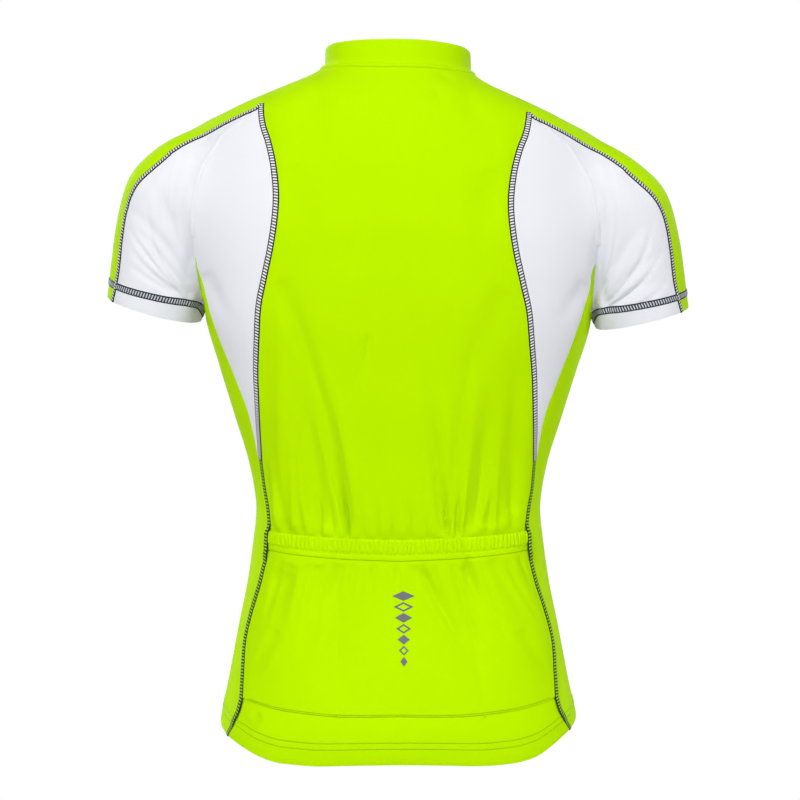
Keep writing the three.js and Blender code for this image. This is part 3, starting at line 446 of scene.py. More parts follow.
# Creases: from one place to another, bowed aside by so much, with a half width and a rise, below nought
# for a trough. The back's and sleeves' lie where the camera sees them, the front's by their own x and z
creases = {name: table(rows, 7) for name, rows in {
    "back": """
    49 -468 58 -415 1 2.6 -1.8  78 -466 82 -420 1 2.8 -1.5  -51 -468 -43 -400 1 2.6 -1.9
    -60 -467 -62 -420 0 2.8 -1.4  120 -456 128 -370 1 4 1.2  -78 -462 -98 -400 2 4 1.1
    70 -458 96 -310 3 13 -2.6  -90 -455 -100 -310 -2 14 -2.8  -118 -440 -124 -290 -1 8 -2
    -24 -498 -80 -597 3 4 -1.3  -68 -486 -82 -535 2 4 -1.1  110 -500 150 -600 6 12 -1.8
    78 -453 98 -228 0 9 -2.4  47 -464 116 -207 9 7 -2.6  53 -450 88 -248 0 8 -1.6  116 -450 113 -218 0 8 1.8
    -50 -462 -32 -288 0 8 -2.6  -57 -457 -84 -248 -5 7 -2  -75 -460 -97 -303 0 9 -2.2
    -107 -450 -122 -278 0 9 -1.6  103 -493 126 -578 0 9 -2  78 -493 93 -598 0 8 -2  58 -493 78 -553 0 7 -1.5
    -22 -493 -72 -578 0 8 -1.8  -67 -493 -102 -568 0 8 -2  -90 -488 -134 -568 0 8 -1.6
    49 -468 92 -312 4 2.6 -0.9  48 -458 68 -303 0 4 -1  26 -263 33 -318 1 3 -0.7
    -46 -466 -34 -330 -1 3 -0.9  -60 -462 -70 -330 1 3 -0.9  -80 -462 -92 -350 1 3.4 -0.8
    86 -460 96 -330 -2 3.4 -0.9  104 -458 108 -350 1 3 0.7  -97 -458 -103 -360 1 3 0.7
    18 -468 22 -420 1 3 -0.7  4 -468 3 -432 0 3 -0.6  -14 -468 -12 -415 1 3 -0.7  -30 -468 -26 -425 0 3 -0.6
    34 -466 41 -405 1 3 -0.7  64 -465 72 -410 1 3 -0.7  -68 -464 -74 -415 0 3 -0.6
    -90 -463 -98 -415 1 3 -0.6  95 -462 101 -415 0 3 -0.6  112 -459 118 -400 0 4 -0.8
    -115 -458 -119 -395 0 4 -0.8  88 -492 101 -560 1 3 -0.8  113 -490 132 -560 2 3.4 -0.9
    70 -492 80 -545 0 3 -0.7  42 -492 50 -536 1 3 -0.6  24 -492 28 -530 0 3 -0.6  2 -494 1 -520 0 3 -0.6
    -14 -494 -20 -524 0 3 -0.6  -36 -493 -52 -548 1 3 -0.7  -54 -493 -84 -585 2 3.4 -0.9
    -80 -491 -112 -585 2 3.4 -0.9  -104 -488 -140 -552 2 3.4 -0.8  -118 -484 -132 -520 0 3 -0.7
    118 -560 146 -612 2 7 -1.1  -118 -560 -148 -606 -2 7 -1.1  60 -25 104 -60 5 9 -0.9
    -60 -25 -100 -58 -5 9 -0.9  34 -14 52 -42 2 6 -0.6  -38 -14 -56 -44 -2 6 -0.7  -70 -8 -78 -34 0 5 -0.6
    -44 2 -60 -8 0 4 -0.6  -50 8 -64 -1 0 3 -0.4  98 -96 84 -180 4 16 -1.1  -98 -96 -80 -185 -4 16 -1.1
    112 -210 70 -300 6 13 -1  -110 -215 -66 -305 -6 13 -1  150 -648 168 -664 0 4 -0.9
    140 -640 158 -668 0 4 -0.8""",
    "sleeves": """
    203 -226 273 -138 8 6 -1.5  206 -230 264 -158 3 4 -1  205 -215 249 -108 6 7 -1.6
    204 -205 231 -103 4 5 -1.1  203 -198 220 -118 3 5 -1  208 -236 262 -200 2 6 -1.2
    -202 -228 -209 -138 -4 6 -1.5  -203 -222 -222 -103 -6 6 -1.4  -205 -226 -252 -143 -6 6 -1.5
    -206 -230 -267 -173 -4 5 -1.2  -208 -236 -269 -198 -2 6 -1.2  -228 -92 -262 -150 -4 9 -1
    228 -88 262 -150 4 9 -1  196 -230 178 -300 3 7 -1.2  -196 -228 -176 -300 -3 7 -1.2
    190 -205 150 -262 4 8 -1.1  -190 -205 -150 -258 -4 8 -1.1  213 -224 247 -133 -12 2.8 -0.7
    216 -226 271 -158 -2 2.6 -0.7  214 -228 270 -179 -3 2.6 -0.6  222 -226 272 -195 -2 2.4 -0.5
    232 -160 233 -96 0 6 -0.6  220 -150 221 -100 0 5 0.5  -203 -216 -218 -122 8 2.8 -0.7
    -205 -231 -258 -134 13 3 -0.8  -208 -233 -269 -166 10 2.8 -0.7  -240 -231 -272 -199 4 2.6 -0.5""",
    "front": """
    60 -452 74 -300 4 9 -2.2  96 -450 112 -290 3 8 -1.8  30 -455 36 -350 1 7 -1.6
    -64 -450 -80 -305 -4 9 -2.2  -100 -448 -110 -300 -2 8 -1.8  -32 -456 -38 -345 -1 7 -1.6
    80 -470 104 -590 3 9 -1.8  -78 -470 -108 -585 -3 9 -1.8  120 -460 138 -560 2 8 -1.5
    -122 -458 -136 -565 -2 8 -1.5  186 -215 112 -262 8 10 -1.7  -186 -215 -110 -258 -8 10 -1.7
    184 -235 126 -300 6 8 -1.3  -184 -235 -128 -296 -6 8 -1.3  176 -180 110 -190 5 10 -1.2
    -176 -180 -108 -188 -5 10 -1.2  14 -90 17 -190 1 6 -0.8  -14 -100 -17 -200 -1 6 -0.8""",
}.items()}


# Depths of wide and narrow creases. A power below one brings a crease early to its full depth, and the
# hollow is the share of a twice as wide bell that comes off
creaseShape = {"soft": 2.7, "sharp": 4.0, "sharpUnder": 5, "early": 0.45, "hollow": 0.3}


def creaseRise(x, z, rows):  # a sine along each crease times a bell across it
    rise = 0 * x
    for fromX, fromZ, toX, toZ, bow, halfWidth, height in rows:
        acrossX, acrossZ = toX - fromX, toZ - fromZ
        length = np.hypot(acrossX, acrossZ)
        along = np.clip(((x - fromX) * acrossX + (z - fromZ) * acrossZ) / length**2, 0, 1)
        aside = ((x - fromX) * acrossZ - (z - fromZ) * acrossX) / length + bow * 4 * along * (1 - along)
        hollow = creaseShape["hollow"] * np.exp(-(aside / halfWidth / 2) ** 2)
        bell = np.exp(-(aside / halfWidth) ** 2) - hollow
        depth = creaseShape["sharp" if halfWidth < creaseShape["sharpUnder"] else "soft"]
        rise += height * depth * np.sin(np.pi * along ** creaseShape["early"]) * bell
    return rise


# Where each list of creases fades in, by x for the arm and else by depth, and the cloth's own slack
folds = {"arm": (130, 185), "back": (4, 26), "front": (10, 40), "sleeve": (4, 26), "sleeveMiddle": -8,
         "slack": 0.16, "waves": (21, 37, 17, 29)}


def foldRise(p):
    x, y, z = p[..., 0], p[..., 1], p[..., 2]
    scale = 1 - y / viewpoint[1]
    seenX, seenZ = x / scale, viewpoint[2] + (z - viewpoint[2]) / scale
    back = fadeIn(y, *folds["back"]) * creaseRise(seenX, seenZ, creases["back"])
    front = fadeIn(-y, *folds["front"]) * creaseRise(x, z, creases["front"])
    onSleeve = fadeIn(np.abs(x), *folds["arm"]) * fadeIn(np.abs(y - folds["sleeveMiddle"]), *folds["sleeve"])
    sleeves = onSleeve * creaseRise(seenX, seenZ, creases["sleeves"])
    upright, sway, wide, deep = folds["waves"]
    slack = folds["slack"] * np.sin(z / upright + 2 * np.sin(x / sway)) * np.sin(x / wide + y / deep)
    return back + front + sleeves + slack


# The stance: the wearer's left shoulder a little higher, the upper back turned a little to the left
stance = smoothTable("lean turn", """
    26 0.02 4.5  0 0.036 4.5  -40 0.033 4.5  -230 0.019 4.5  -450 0 1  -690 0 -1.5""")
# How the hem's edge and the shoulders' top line are eased after the photo, by how far aside, and how
# the hem turns in behind
cornerRise = smoothCurve("""
    -178 12  -160 8  -148 4  -136 -0.3  -118 -2.8  -100 -3  -76 -2.5  -48 -1  0 0  32 -0.6  56 -1.6
    80 -3  104 -3.4  118 -3.8  140 -1.3  152 0.9  178 4""")
shoulderRise = smoothCurve("150 0  172 1.5  192 4  212 1  232 -3.2  250 -2.4  266 0")
easing = {"turn": (-20, 110), "lean": (2, 60), "hem": (600, 680), "shoulder": (-140, -90), "ridge": -2,
          "ridgeHalf": 17, "tuck": 7, "behind": (20, 60), "tuckFrom": 640, "tuckOver": 36, "tuckMost": 1.2}


def posed(p):
    x, y, z = p[..., 0], p[..., 1], p[..., 2]
    lift = stance["lean"](z) * x * fadeIn(np.abs(x), *easing["lean"])
    lift += cornerRise(x) * fadeIn(-z, *easing["hem"])
    ridge = np.exp(-((y - easing["ridge"]) / easing["ridgeHalf"]) ** 2)
    lift += shoulderRise(np.abs(x)) * ridge * fadeIn(z, *easing["shoulder"])
    low = np.clip((-z - easing["tuckFrom"]) / easing["tuckOver"], 0, easing["tuckMost"])
    tuck = easing["tuck"] * fadeIn(y, *easing["behind"]) * low**2
    return np.stack([x + stance["turn"](z) * fadeIn(y, *easing["turn"]), y - tuck, z + lift], -1)


# Meshes
def putMesh(name, points, faces, uv=None, sharp=40):
    mesh = bpy.data.meshes.new(name)
    faces = faces if isinstance(faces, list) else faces.tolist()
    mesh.from_pydata((np.asarray(points) / 1000).tolist(), [], faces)
    if uv is not None:
        layer = mesh.uv_layers.new(name="cloth")
        corners = np.empty(len(mesh.loops), np.int32)
        mesh.loops.foreach_get("vertex_index", corners)
        layer.data.foreach_set("uv", (np.asarray(uv)[corners] / 1000).astype(np.float32).ravel())
    mesh.shade_smooth()
    mesh.set_sharp_from_angle(angle=np.radians(sharp))
    piece = bpy.data.objects.new(name, mesh)
    scene.collection.objects.link(piece)
    return piece


def runAlong(grid, axis):  # lengths run along rows or columns, from their start
    lengths = np.linalg.norm(np.diff(grid, axis=axis), axis=-1)
    start = np.zeros_like(np.take(lengths, [0], axis=axis))
    return np.cumsum(np.concatenate([start, lengths], axis=axis), axis=axis)


# A wall of cloth between a grid of points on the form, lifted, and the same points moved in
def clothShell(name, grid, thickness, lift=0, dip=0.4, side=1, uv=None, dipHalf=1.5):
    p = mirrored(grid) if side < 0 else grid
    outward = unit(slopeAt(p))
    down, wide = runAlong(p, 0), runAlong(p, 1)
    rim = np.minimum(np.minimum(down, down[-1:] - down), np.minimum(wide, wide[:, -1:] - wide))
    rise = foldRise(p) + lift - dip * np.exp(-(rim / dipHalf) ** 2)
    outer = posed(p + outward * rise[..., None])
    inner = posed(p + outward * (rise - thickness)[..., None])
    if uv is None:
        middle = wide.shape[1] // 2
        across = wide - wide[:, middle:middle + 1]
        uv = np.stack(np.broadcast_arrays(across, down[:, middle:middle + 1]), -1)
    rows, columns = p.shape[:2]
    index = np.arange(rows * columns).reshape(rows, columns)
    quads = np.stack([index[:-1, :-1], index[1:, :-1], index[1:, 1:], index[:-1, 1:]], -1).reshape(-1, 4)
    i, j = rows // 2, columns // 2
    facing = np.cross(outer[i + 1, j] - outer[i, j], outer[i, j + 1] - outer[i, j]) @ outward[i, j]
    loop = np.concatenate([index[0, :-1], index[:-1, -1], index[-1, :0:-1], index[:0:-1, 0]])
    after = np.roll(loop, -1)
    count = rows * columns
    walls = np.stack([loop, after, after + count, loop + count], -1)
    faces = np.concatenate([quads, quads[:, ::-1] + count, walls])
    if facing < 0:
        faces = faces[:, ::-1]
    return putMesh(name, np.concatenate([outer.reshape(-1, 3), inner.reshape(-1, 3)]), faces,
                   np.concatenate([uv.reshape(-1, 2)] * 2))


# Thread bands: a few points across a seam, pressed on the form, with a rounded lift across them
def seamBand(name, curve, width, lift, side, height, columns, dip=0.1, sunk=0.5):
    outward = unit(slopeAt(curve))
    ahead = unit(np.gradient(curve, axis=0))
    offsets = np.linspace(-width / 2, width / 2, columns)
    grid = press(curve[:, None] + np.cross(ahead, outward)[:, None] * offsets[:, None], turns=3)
    crown = height * (1 - np.abs(offsets * 2 / width) ** 4)
    run = runAlong(curve[:, None], 0)
    uv = np.stack(np.broadcast_arrays(offsets[None], run), -1)
    if np.ndim(lift):
        lift = np.asarray(lift)[:, None]
    return clothShell(name, grid, sunk + height, lift + crown[None], dip, side, uv)


# Materials: a wire carries a socket, so that shader maths reads as a formula
class Wire:
    def __init__(self, tree, socket=None):
        self.tree, self.socket = tree, socket

    def node(self, kind, settings=None, sockets=None, out=0):
        made = self.tree.nodes.new("ShaderNode" + kind)
        for name, value in (settings or {}).items():
            setattr(made, name, value)
        for name, value in (sockets or {}).items():
            if isinstance(value, Wire):
                self.tree.links.new(value.socket, made.inputs[name])
            else:
                made.inputs[name].default_value = value
        return Wire(self.tree, made.outputs[out])

    def maths(self, operation, *values):
        return self.node("Math", {"operation": operation}, dict(enumerate(values)))

    def __add__(self, other): return self.maths("ADD", self, other)
    __radd__ = __add__
    def __sub__(self, other): return self.maths("SUBTRACT", self, other)
    def __rsub__(self, other): return self.maths("SUBTRACT", other, self)
    def __mul__(self, other): return self.maths("MULTIPLY", self, other)
    def __gt__(self, other): return self.maths("GREATER_THAN", self, other)
    def sine(self): return self.maths("SINE", self)
    def size(self): return self.maths("ABSOLUTE", self)

    def mix(self, first, second):  # colour first where this is nought, second where it is one
        return self.node("Mix", {"data_type": "RGBA"}, {0: self, 6: first, 7: second}, 2)


def colorOf(red, green, blue):  # a screen colour as the shader's own
    c = np.array([red, green, blue]) / 255
    return (*np.where(c <= 0.04045, c / 12.92, ((c + 0.055) / 1.055) ** 2.4), 1)


def newMaterial(name):
    material = bpy.data.materials.new(name)
    material.use_nodes = True
    material.node_tree.nodes.clear()
    return material, Wire(material.node_tree)


def finishMaterial(wire, bump=None, depth=0.0002, **sockets):
    if bump is not None:
        raised = {"Height": bump, "Distance": depth, "Strength": 1.0}
        sockets["Normal"] = wire.node("Bump", sockets=raised)
    names = {"color": "Base Color", "roughness": "Roughness", "metallic": "Metallic", "sheen": "Sheen Weight",
             "sheenRoughness": "Sheen Roughness", "glow": "Emission Strength", "glowColor": "Emission Color",
             "specular": "Specular IOR Level", "sheenTint": "Sheen Tint", "specularTint": "Specular Tint"}
    shader = wire.node("BsdfPrincipled", sockets={names.get(k, k): v for k, v in sockets.items()})
    wire.tree.links.new(shader.socket, wire.tree.nodes.new("ShaderNodeOutputMaterial").inputs["Surface"])


def clothPlaces(wire):  # lengths across and along the cloth, in millimetres
    uv = wire.node("UVMap", {"uv_map": "cloth"})
    split = uv.node("SeparateXYZ", sockets={0: uv})
    return split * 1000, Wire(wire.tree, split.socket.node.outputs[1]) * 1000


knits = {  # colour, its shaded copy (painted shade), colour thrown on to neighbours, glow, wale and course in mm
    "green": ((193, 246, 0), (176, 225, 0), (206, 216, 176), 0.02, 1.1, 0.9),
    "white": ((243, 244, 248), (226, 229, 238), (226, 229, 238), 0.0, 1.1, 0.9),
    "rib": ((197, 252, 0), (174, 222, 0), (206, 216, 176), 0.03, 0.8, 0.8),
}
knitShade = {"base": 0.12, "loops": 0.3, "clouds": 0.2, "fuzz": 0.15, "wobble": 1.5}


def knitMaterial(name, knit):
    color, deep, thrown, glow, wale, course = knits[knit]
    material, wire = newMaterial(name)
    u, v = clothPlaces(wire)
    loops = (u * (2 * np.pi / wale)).sine().size() * (
        v * (2 * np.pi / course) + (u * (np.pi / wale)).sine() * knitShade["wobble"]).sine().size()
    places = wire.node("TexCoord", out=3)
    cloudy = wire.node("TexNoise", sockets={"Vector": places, "Scale": 14.0, "Detail": 3.0})
    fuzz = wire.node("TexNoise", sockets={"Vector": places, "Scale": 900.0, "Detail": 2.0})
    # Painted shade: the colour goes towards its shaded copy over the knit's loops; clouds and fuzz vary the
    # tone at random
    shade = knitShade["base"] + loops * knitShade["loops"] + cloudy * knitShade["clouds"]
    seen = (shade - fuzz * knitShade["fuzz"]).mix(colorOf(*color), colorOf(*deep))
    diffuse = wire.node("LightPath", out=2)  # such rays throw nearly white light on the neighbours
    tint = colorOf(*color)
    finishMaterial(wire, loops * 0.7 + fuzz * 0.5, 0.00012, color=diffuse.mix(seen, colorOf(*thrown)),
                   roughness=0.62 + fuzz * 0.25, sheen=0.06, sheenRoughness=0.5, sheenTint=tint,
                   specular=0.06, specularTint=tint, glow=glow, glowColor=tint)
    return material


threads = {"dark": (10, 11, 26), "light": (240, 241, 246), "pitch": 2.9, "edge": 0.63, "slant": 0.5,
           "edgeMiddle": 0.78, "edgeHalf": 0.2, "gapOver": 0.55, "gapDepth": 0.8, "rungDepth": 0.92}


# A flatlock seam: dark threads along both edges, with gaps in them, and dark rungs between the two
def flatlockMaterial(name, light, width, pitch=threads["pitch"], darkness=0.5, rim=threads["edge"]):
    material, wire = newMaterial(name)
    u, v = clothPlaces(wire)
    far = u.size() * (2 / width)
    rung = (v * (2 * np.pi / pitch) + u * threads["slant"]).sine()
    gaps = ((far - threads["edgeMiddle"]).size() > threads["edgeHalf"]) * (rung > threads["gapOver"])
    edge = (far > rim) * (1 - gaps * threads["gapDepth"])
    dark = 1 - (1 - edge) * (1 - (rung > (1 - 2 * darkness)) * threads["rungDepth"])
    color = dark.mix(colorOf(*light), colorOf(*threads["dark"]))
    finishMaterial(wire, rung * 0.5 + far * 0.3, 0.0004, color=color, roughness=0.7, sheen=0.1, specular=0.3)
    return material


def shadedThreadMaterial(name, light, deep, pitch):  # thread darker than the cloth, as painted shade of the stitched line, in short stitches
    material, wire = newMaterial(name)
    u, v = clothPlaces(wire)
    stitch = (v * (np.pi / pitch)).sine().size()
    # painted shade: darker still between the stitches
    color = (1 - stitch).mix(colorOf(*light), colorOf(*deep))
    finishMaterial(wire, stitch, 0.0003, color=color, roughness=0.6, specular=0.06)
    return material


looks = {
    "green": knitMaterial("green_knit", "green"),
    "white": knitMaterial("white_knit", "white"),
    "rib": knitMaterial("elastic_band", "rib"),
    "tape": knitMaterial("zip_tape", "rib"),
    "flatlock": flatlockMaterial("flatlock", threads["light"], 6.4),
    "narrowFlatlock": flatlockMaterial("narrow_flatlock", (226, 232, 226), 5.2),
    "greenFlatlock": flatlockMaterial("green_flatlock", (150, 205, 10), 5.4, 3.2, rim=0.8),
    "cuff": flatlockMaterial("cuff_stitch", (205, 210, 220), 7.2, 2.8, 0.62),
    # its two greens are painted shade of the stitched lines in the hem and the pocket's foot
    "shadedGreenThread": shadedThreadMaterial("green_thread_painted_shade", (176, 230, 0), (136, 182, 0), 2.4),
}


# Reflective film, metal and moulded coil: a fine speckle between two colours, which bumps and roughens
speckles = {  # name, texture, scale, detail, two colours, bump depth, roughness and its range, metallic
    "film": ("reflective_film", "Voronoi", 2600, 0, (0.2, 0.2, 0.225, 1), (0.15, 0.15, 0.17, 1),
             0.00003, 0.38, 0.15, 0.25),
    "metal": ("zip_metal", "Noise", 1400, 4, (0.05, 0.052, 0.06, 1), (0.09, 0.092, 0.1, 1),
              0.00002, 0.3, 0.2, 0.9),
    "teeth": ("zip_teeth", "Noise", 700, 3, colorOf(150, 205, 0), colorOf(172, 232, 0),
              0.00002, 0.35, 0.2, 0),
}


def speckledMaterial(name, texture, scale, detail, first, second, depth, smooth, rougher, metallic):
    material, wire = newMaterial(name)
    places = wire.node("TexCoord", out=3)
    grain = wire.node("Tex" + texture, sockets={"Vector": places, "Scale": scale, "Detail": detail})
    finishMaterial(wire, grain, depth, color=grain.mix(first, second), roughness=smooth + grain * rougher,
                   metallic=metallic)
    return material


looks.update({look: speckledMaterial(*speckle) for look, speckle in speckles.items()})
for name in ("zip_slider", "zip_pull"):
    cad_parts[name].data.materials.clear()
    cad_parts[name].data.materials.append(looks["metal"])
print("materials made")


def dress(piece, look):
    piece.data.materials.clear()
    piece.data.materials.append(looks[look])
    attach(piece, "garment")
    return piece


# The cut pieces, each in place of its solid, and the cloth's thicknesses in millimetres
cloth = {"thickness": 1.2, "collar": 2, "tape": 1.4}
sides = (("left", 1), ("right", -1))


def cutPiece(node, grid, look, thickness=cloth["thickness"], held="stretched", **more):
    piece = dress(clothShell(f"dressed_{node}", grid, thickness, **more), look)
    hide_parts(node)


cutPiece("back", backGrid, "green")
pairs = {"front": (frontGrid, "green"), "back_side": (whiteGrid, "white"), "side": (sideGrid, "green"),
         "shoulder_strip": (stripGrid, "green"), "sleeve": (sleeveGrid, "white")}
for name, side in sides:
    for node, (grid, look) in pairs.items():
        cutPiece(f"{node}_{name}", grid, look, side=side)

# Collar: a groove in it, above the roll of seam allowance that is sewn along the neck seam further on
groove = {"rise": -0.6, "middle": 0.87, "halfWidth": 0.07}
share = spread(0, 1, steps["collar"])[:, None]
roll = groove["rise"] * np.exp(-((share - groove["middle"]) / groove["halfWidth"]) ** 2)
cutPiece("collar", collarGrid, "green", cloth["collar"], lift=roll + 0 * collarGrid[..., 0])
print("cloth cut")

# The rear pocket: sewn down at its sides, its foot and two lines, standing off between them
pocket = {"standOff": 6.6, "rest": 0.5, "sideInset": 4, "fullness": 0.7, "footPower": 3,
          "lines": smoothTable("left right", "-470 60 -62  -645 58 -84")}
princessOrder = princessAll[::-1]


def pocketRoom(p):  # a sine between neighbouring lines, made fuller by a power below one
    half = np.interp(p[..., 2], princessOrder[:, 2], princessOrder[:, 0]) - pocket["sideInset"]
    left, right = pocket["lines"]["left"](p[..., 2]), pocket["lines"]["right"](p[..., 2])
    room = 0 * half
    for high, low in ((half, left), (left, right), (right, -half)):
        room += np.sin(np.pi * np.clip((high - p[..., 0]) / (high - low), 0, 1)) ** pocket["fullness"]
    return room


def pocketLift(p, down):
    room = pocket["standOff"] * pocketRoom(p) * (1 - down ** pocket["footPower"])
    return pocket["rest"] + cloth["thickness"] + room


pocketGrid = backBlocks[2]
pocketDown = spread(0, 1, steps["pocket"])[:, None]
cutPiece("pocket", pocketGrid, "green", lift=pocketLift(pocketGrid, pocketDown))

# The gathered band: its columns are sampled eight to a gather, with a stitched groove below its middle
band = {"gathers": 62, "perGather": 8, "rows": 15, "inset": 0.02, "thickness": 2.2, "gather": 1.5,
        "uneven": (0.12, 1.7), "wander": (0.1, 9), "topFade": 0.1, "footFade": (0.28, 0.4), "sink": 0.5,
        "groove": (0.5, 0.7, 0.04), "dip": 0.5}
place = spread(0, len(bandTop) - 1, band["gathers"] * band["perGather"])
low = np.minimum(place.astype(int), len(bandTop) - 2)
topRow, bottomRow = [row[low] + (row[low + 1] - row[low]) * (place - low)[:, None]
                     for row in (bandTop, bandBottom)]
bandDown = spread(band["inset"], 1 - band["inset"], band["rows"])[:, None]
bandGrid = topRow[None] * (1 - bandDown[..., None]) + bottomRow[None] * bandDown[..., None]
turn = spread(0, band["gathers"], band["gathers"] * band["perGather"])[None]
uneven = band["uneven"][0] * np.sin(turn * band["uneven"][1])
wander = band["wander"][0] * np.sin(bandDown * band["wander"][1] + turn)
gather = np.abs(np.sin(np.pi * (turn + uneven + wander)))
middle = fadeIn(bandDown, 0, band["topFade"]) * fadeIn(1 - bandDown, *band["footFade"])
depth, at, half = band["groove"]
stitched = depth * np.exp(-((bandDown - at) / half) ** 2)
bandLift = pocket["rest"] + pocket["standOff"] * pocketRoom(bandGrid) + band["thickness"] - band["sink"] \
    + band["gather"] * gather * middle - stitched
cutPiece("pocket_band", bandGrid, "rib", band["thickness"], held="gathered", lift=bandLift,
         dip=band["dip"])
print("pocket and band laid")

tapeEdge = joined(collarEnd, zipEdge)
tapeMiddle = press(tapeEdge * np.array([0, 1, 1]), np.array([0, 1.0, 0]))
tapeGrid = np.stack([tapeEdge, (tapeEdge + tapeMiddle) / 2, tapeMiddle, mirrored(tapeEdge + tapeMiddle) / 2,
                     mirrored(tapeEdge)], 1)
tape = dress(clothShell("dressed_zip_tape", tapeGrid, cloth["tape"]), "tape")
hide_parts("zip_tape")

# Sewing: flatlock over the joins, a raised seam round the armholes, coverstitch round the cuffs, and
# plain stitches in the hem and the pocket, darkened with painted shade
stitches = {  # width, look, lift, how far it stands off, points across
    "princess_upper": (6.4, "flatlock", 0.2, 0.5, 7), "princess_lower": (5.4, "greenFlatlock", 0.2, 0.5, 7),
    "strip": (5.2, "narrowFlatlock", 0.45, 0.5, 7), "armhole": (5.5, "white", -0.1, 0.9, 9),
    "cuff_stitch": (7, "cuff", 0.3, 0.5, 7), "collar_roll": (5.4, "green", 0.2, 1.5, 11),
    "hem_stitch": (1.1, "shadedGreenThread", 0.2, 0.35, 3), "pocket_line": (1.0, "green", 1.7, 0.3, 3),
    "pocket_foot_stitch": (1.1, "shadedGreenThread", 1.8, 0.35, 3),
}
sewing = {"armholeEnds": (6, -8), "collarEnds": (2, -2), "footEnds": (4, -4), "cuffRise": 18.2,
          "cuffSlant": 2.8, "innerDrop": 14, "innerHalf": 0.45, "hemRows": (16, 22), "footRise": 1.5,
          "pocketLine": (-486, -634), "lowerDown": (450, 459, 480, 487, 644, 652),
          "lowerRise": (0, 3.9, 3.9, 1.9, 1.9, 0)}  # over the band and the pocket


def sew(kind, place, curve, side=1, rise=0):
    width, look, lift, height, columns = stitches[kind]
    dress(seamBand(kind + place, curve, width, lift + rise, side, height, columns), look)


def trimmed(curve, ends):
    return curve[slice(*sewing[ends])]


def cuffRow(count=150):
    turns = spread(0, 2 * np.pi, count)[:, None]
    outward = outOfArm(turns)
    inner = sewing["innerDrop"] * np.exp(-((turns - np.pi) / sewing["innerHalf"]) ** 2)
    rise = sewing["cuffRise"] - sewing["cuffSlant"] * np.cos(turns) - inner
    return press(form["cuff"] - armAxis * rise + outward * 50, outward, 12)


lowerRise = np.interp(-princessLower[:, 2], sewing["lowerDown"], sewing["lowerRise"])
stripSewn = joined(between(backCorner, armholeTop, steps["corner"]), stripBack)
for name, side in sides:
    sew("princess_upper", f"_{name}", princessUpper, side)
    sew("princess_lower", f"_{name}", princessLower, side, lowerRise)
    sew("strip", f"_back_{name}", stripSewn, side)
    sew("strip", f"_front_{name}", stripFront, side)
    for place, curve in (("back", armholeBack), ("front", armholeFront)):
        sew("armhole", f"_{place}_{name}", trimmed(curve, "armholeEnds"), side)
    sew("cuff_stitch", f"_{name}", cuffRow(), side)
sew("collar_roll", "", trimmed(ringAll, "collarEnds"))
for k, rise in enumerate(sewing["hemRows"]):
    sew("hem_stitch", f"_{k}", hemAt(spread(-177, 177, 240), rise))
foot = press(pocketBottom + np.array([0, 0, sewing["footRise"]]))
sew("pocket_foot_stitch", "_0", trimmed(foot, "footEnds"))
for name, side in sides:
    z = spread(*sewing["pocketLine"], 70)
    row = press(np.stack([pocket["lines"][name](z), 0 * z + 105, z], -1), np.array([0, 1.0, 0]), 14)
    sew("pocket_line", f"_{name}", row)
print("seams sewn")

# Reflective film on the middle of the pocket: a plain file of lozenges, smaller towards the foot, every
# other one a frame
lozenges = {"place": -5.2, "top": -519, "foot": -596, "count": 7, "width": (22, 7), "gap": 1.2, "film": 0.25,
            "thickness": 0.3, "frame": 0.62, "steps": 8}


def pocketPlace(p):  # how far down the pocket a point is: nought at its mouth, one at its foot
    mouth = np.interp(-p[..., 0], -bandBottom[:, 0], bandBottom[:, 2])
    foot = np.interp(-p[..., 0], -pocketBottom[:, 0], pocketBottom[:, 2])
    return np.clip((mouth - p[..., 2]) / (mouth - foot), 0, 1)


def lozengeFilm(name, middle, width, height, hole):
    n = lozenges["steps"]
    if hole:  # round the frame from its inner to its outer edge
        turn, out = np.meshgrid(spread(0, 4, 4 * n), spread(hole, 1, 2), indexing="ij")
        corner = np.floor(turn).astype(int) % 4
        share = turn - np.floor(turn)
        ends = np.array([[1, 0], [0, 1], [-1, 0], [0, -1]])
        edge = ends[corner] * (1 - share)[..., None] + ends[(corner + 1) % 4] * share[..., None]
        flat = edge * out[..., None]
    else:
        s, t = np.meshgrid(spread(-1, 1, n), spread(-1, 1, n), indexing="ij")
        flat = np.stack([(s + t) / 2, (s - t) / 2], -1)
    seen = flat * np.array([width / 2, height / 2]) + middle
    grid = fromBehind(seen)
    lift = pocketLift(grid, pocketPlace(grid)) + lozenges["film"]
    return dress(clothShell(name, grid, lozenges["thickness"], lift, 0), "film")


rowHeight = (lozenges["top"] - lozenges["foot"]) / lozenges["count"]
for k in range(lozenges["count"]):
    wide, narrow = lozenges["width"]
    width = wide + (narrow - wide) * k / (lozenges["count"] - 1)
    middle = np.array([lozenges["place"], lozenges["top"] - (k + 0.5) * rowHeight])
    lozengeFilm(f"lozenge_{k}", middle, width, rowHeight - lozenges["gap"], lozenges["frame"] if k % 2 else 0)
print("print pressed on")

# Zip teeth: two rows of short bars, hooked between each other up the middle of the tape
zipTeeth = {"pitch": 2.0, "reach": 1.7, "wide": 1.1, "proud": 0.75, "aside": 0.75, "taper": 0.72,
            "sunk": -0.2, "end": 2, "first": {1: 1.5, -1: 2.0}}


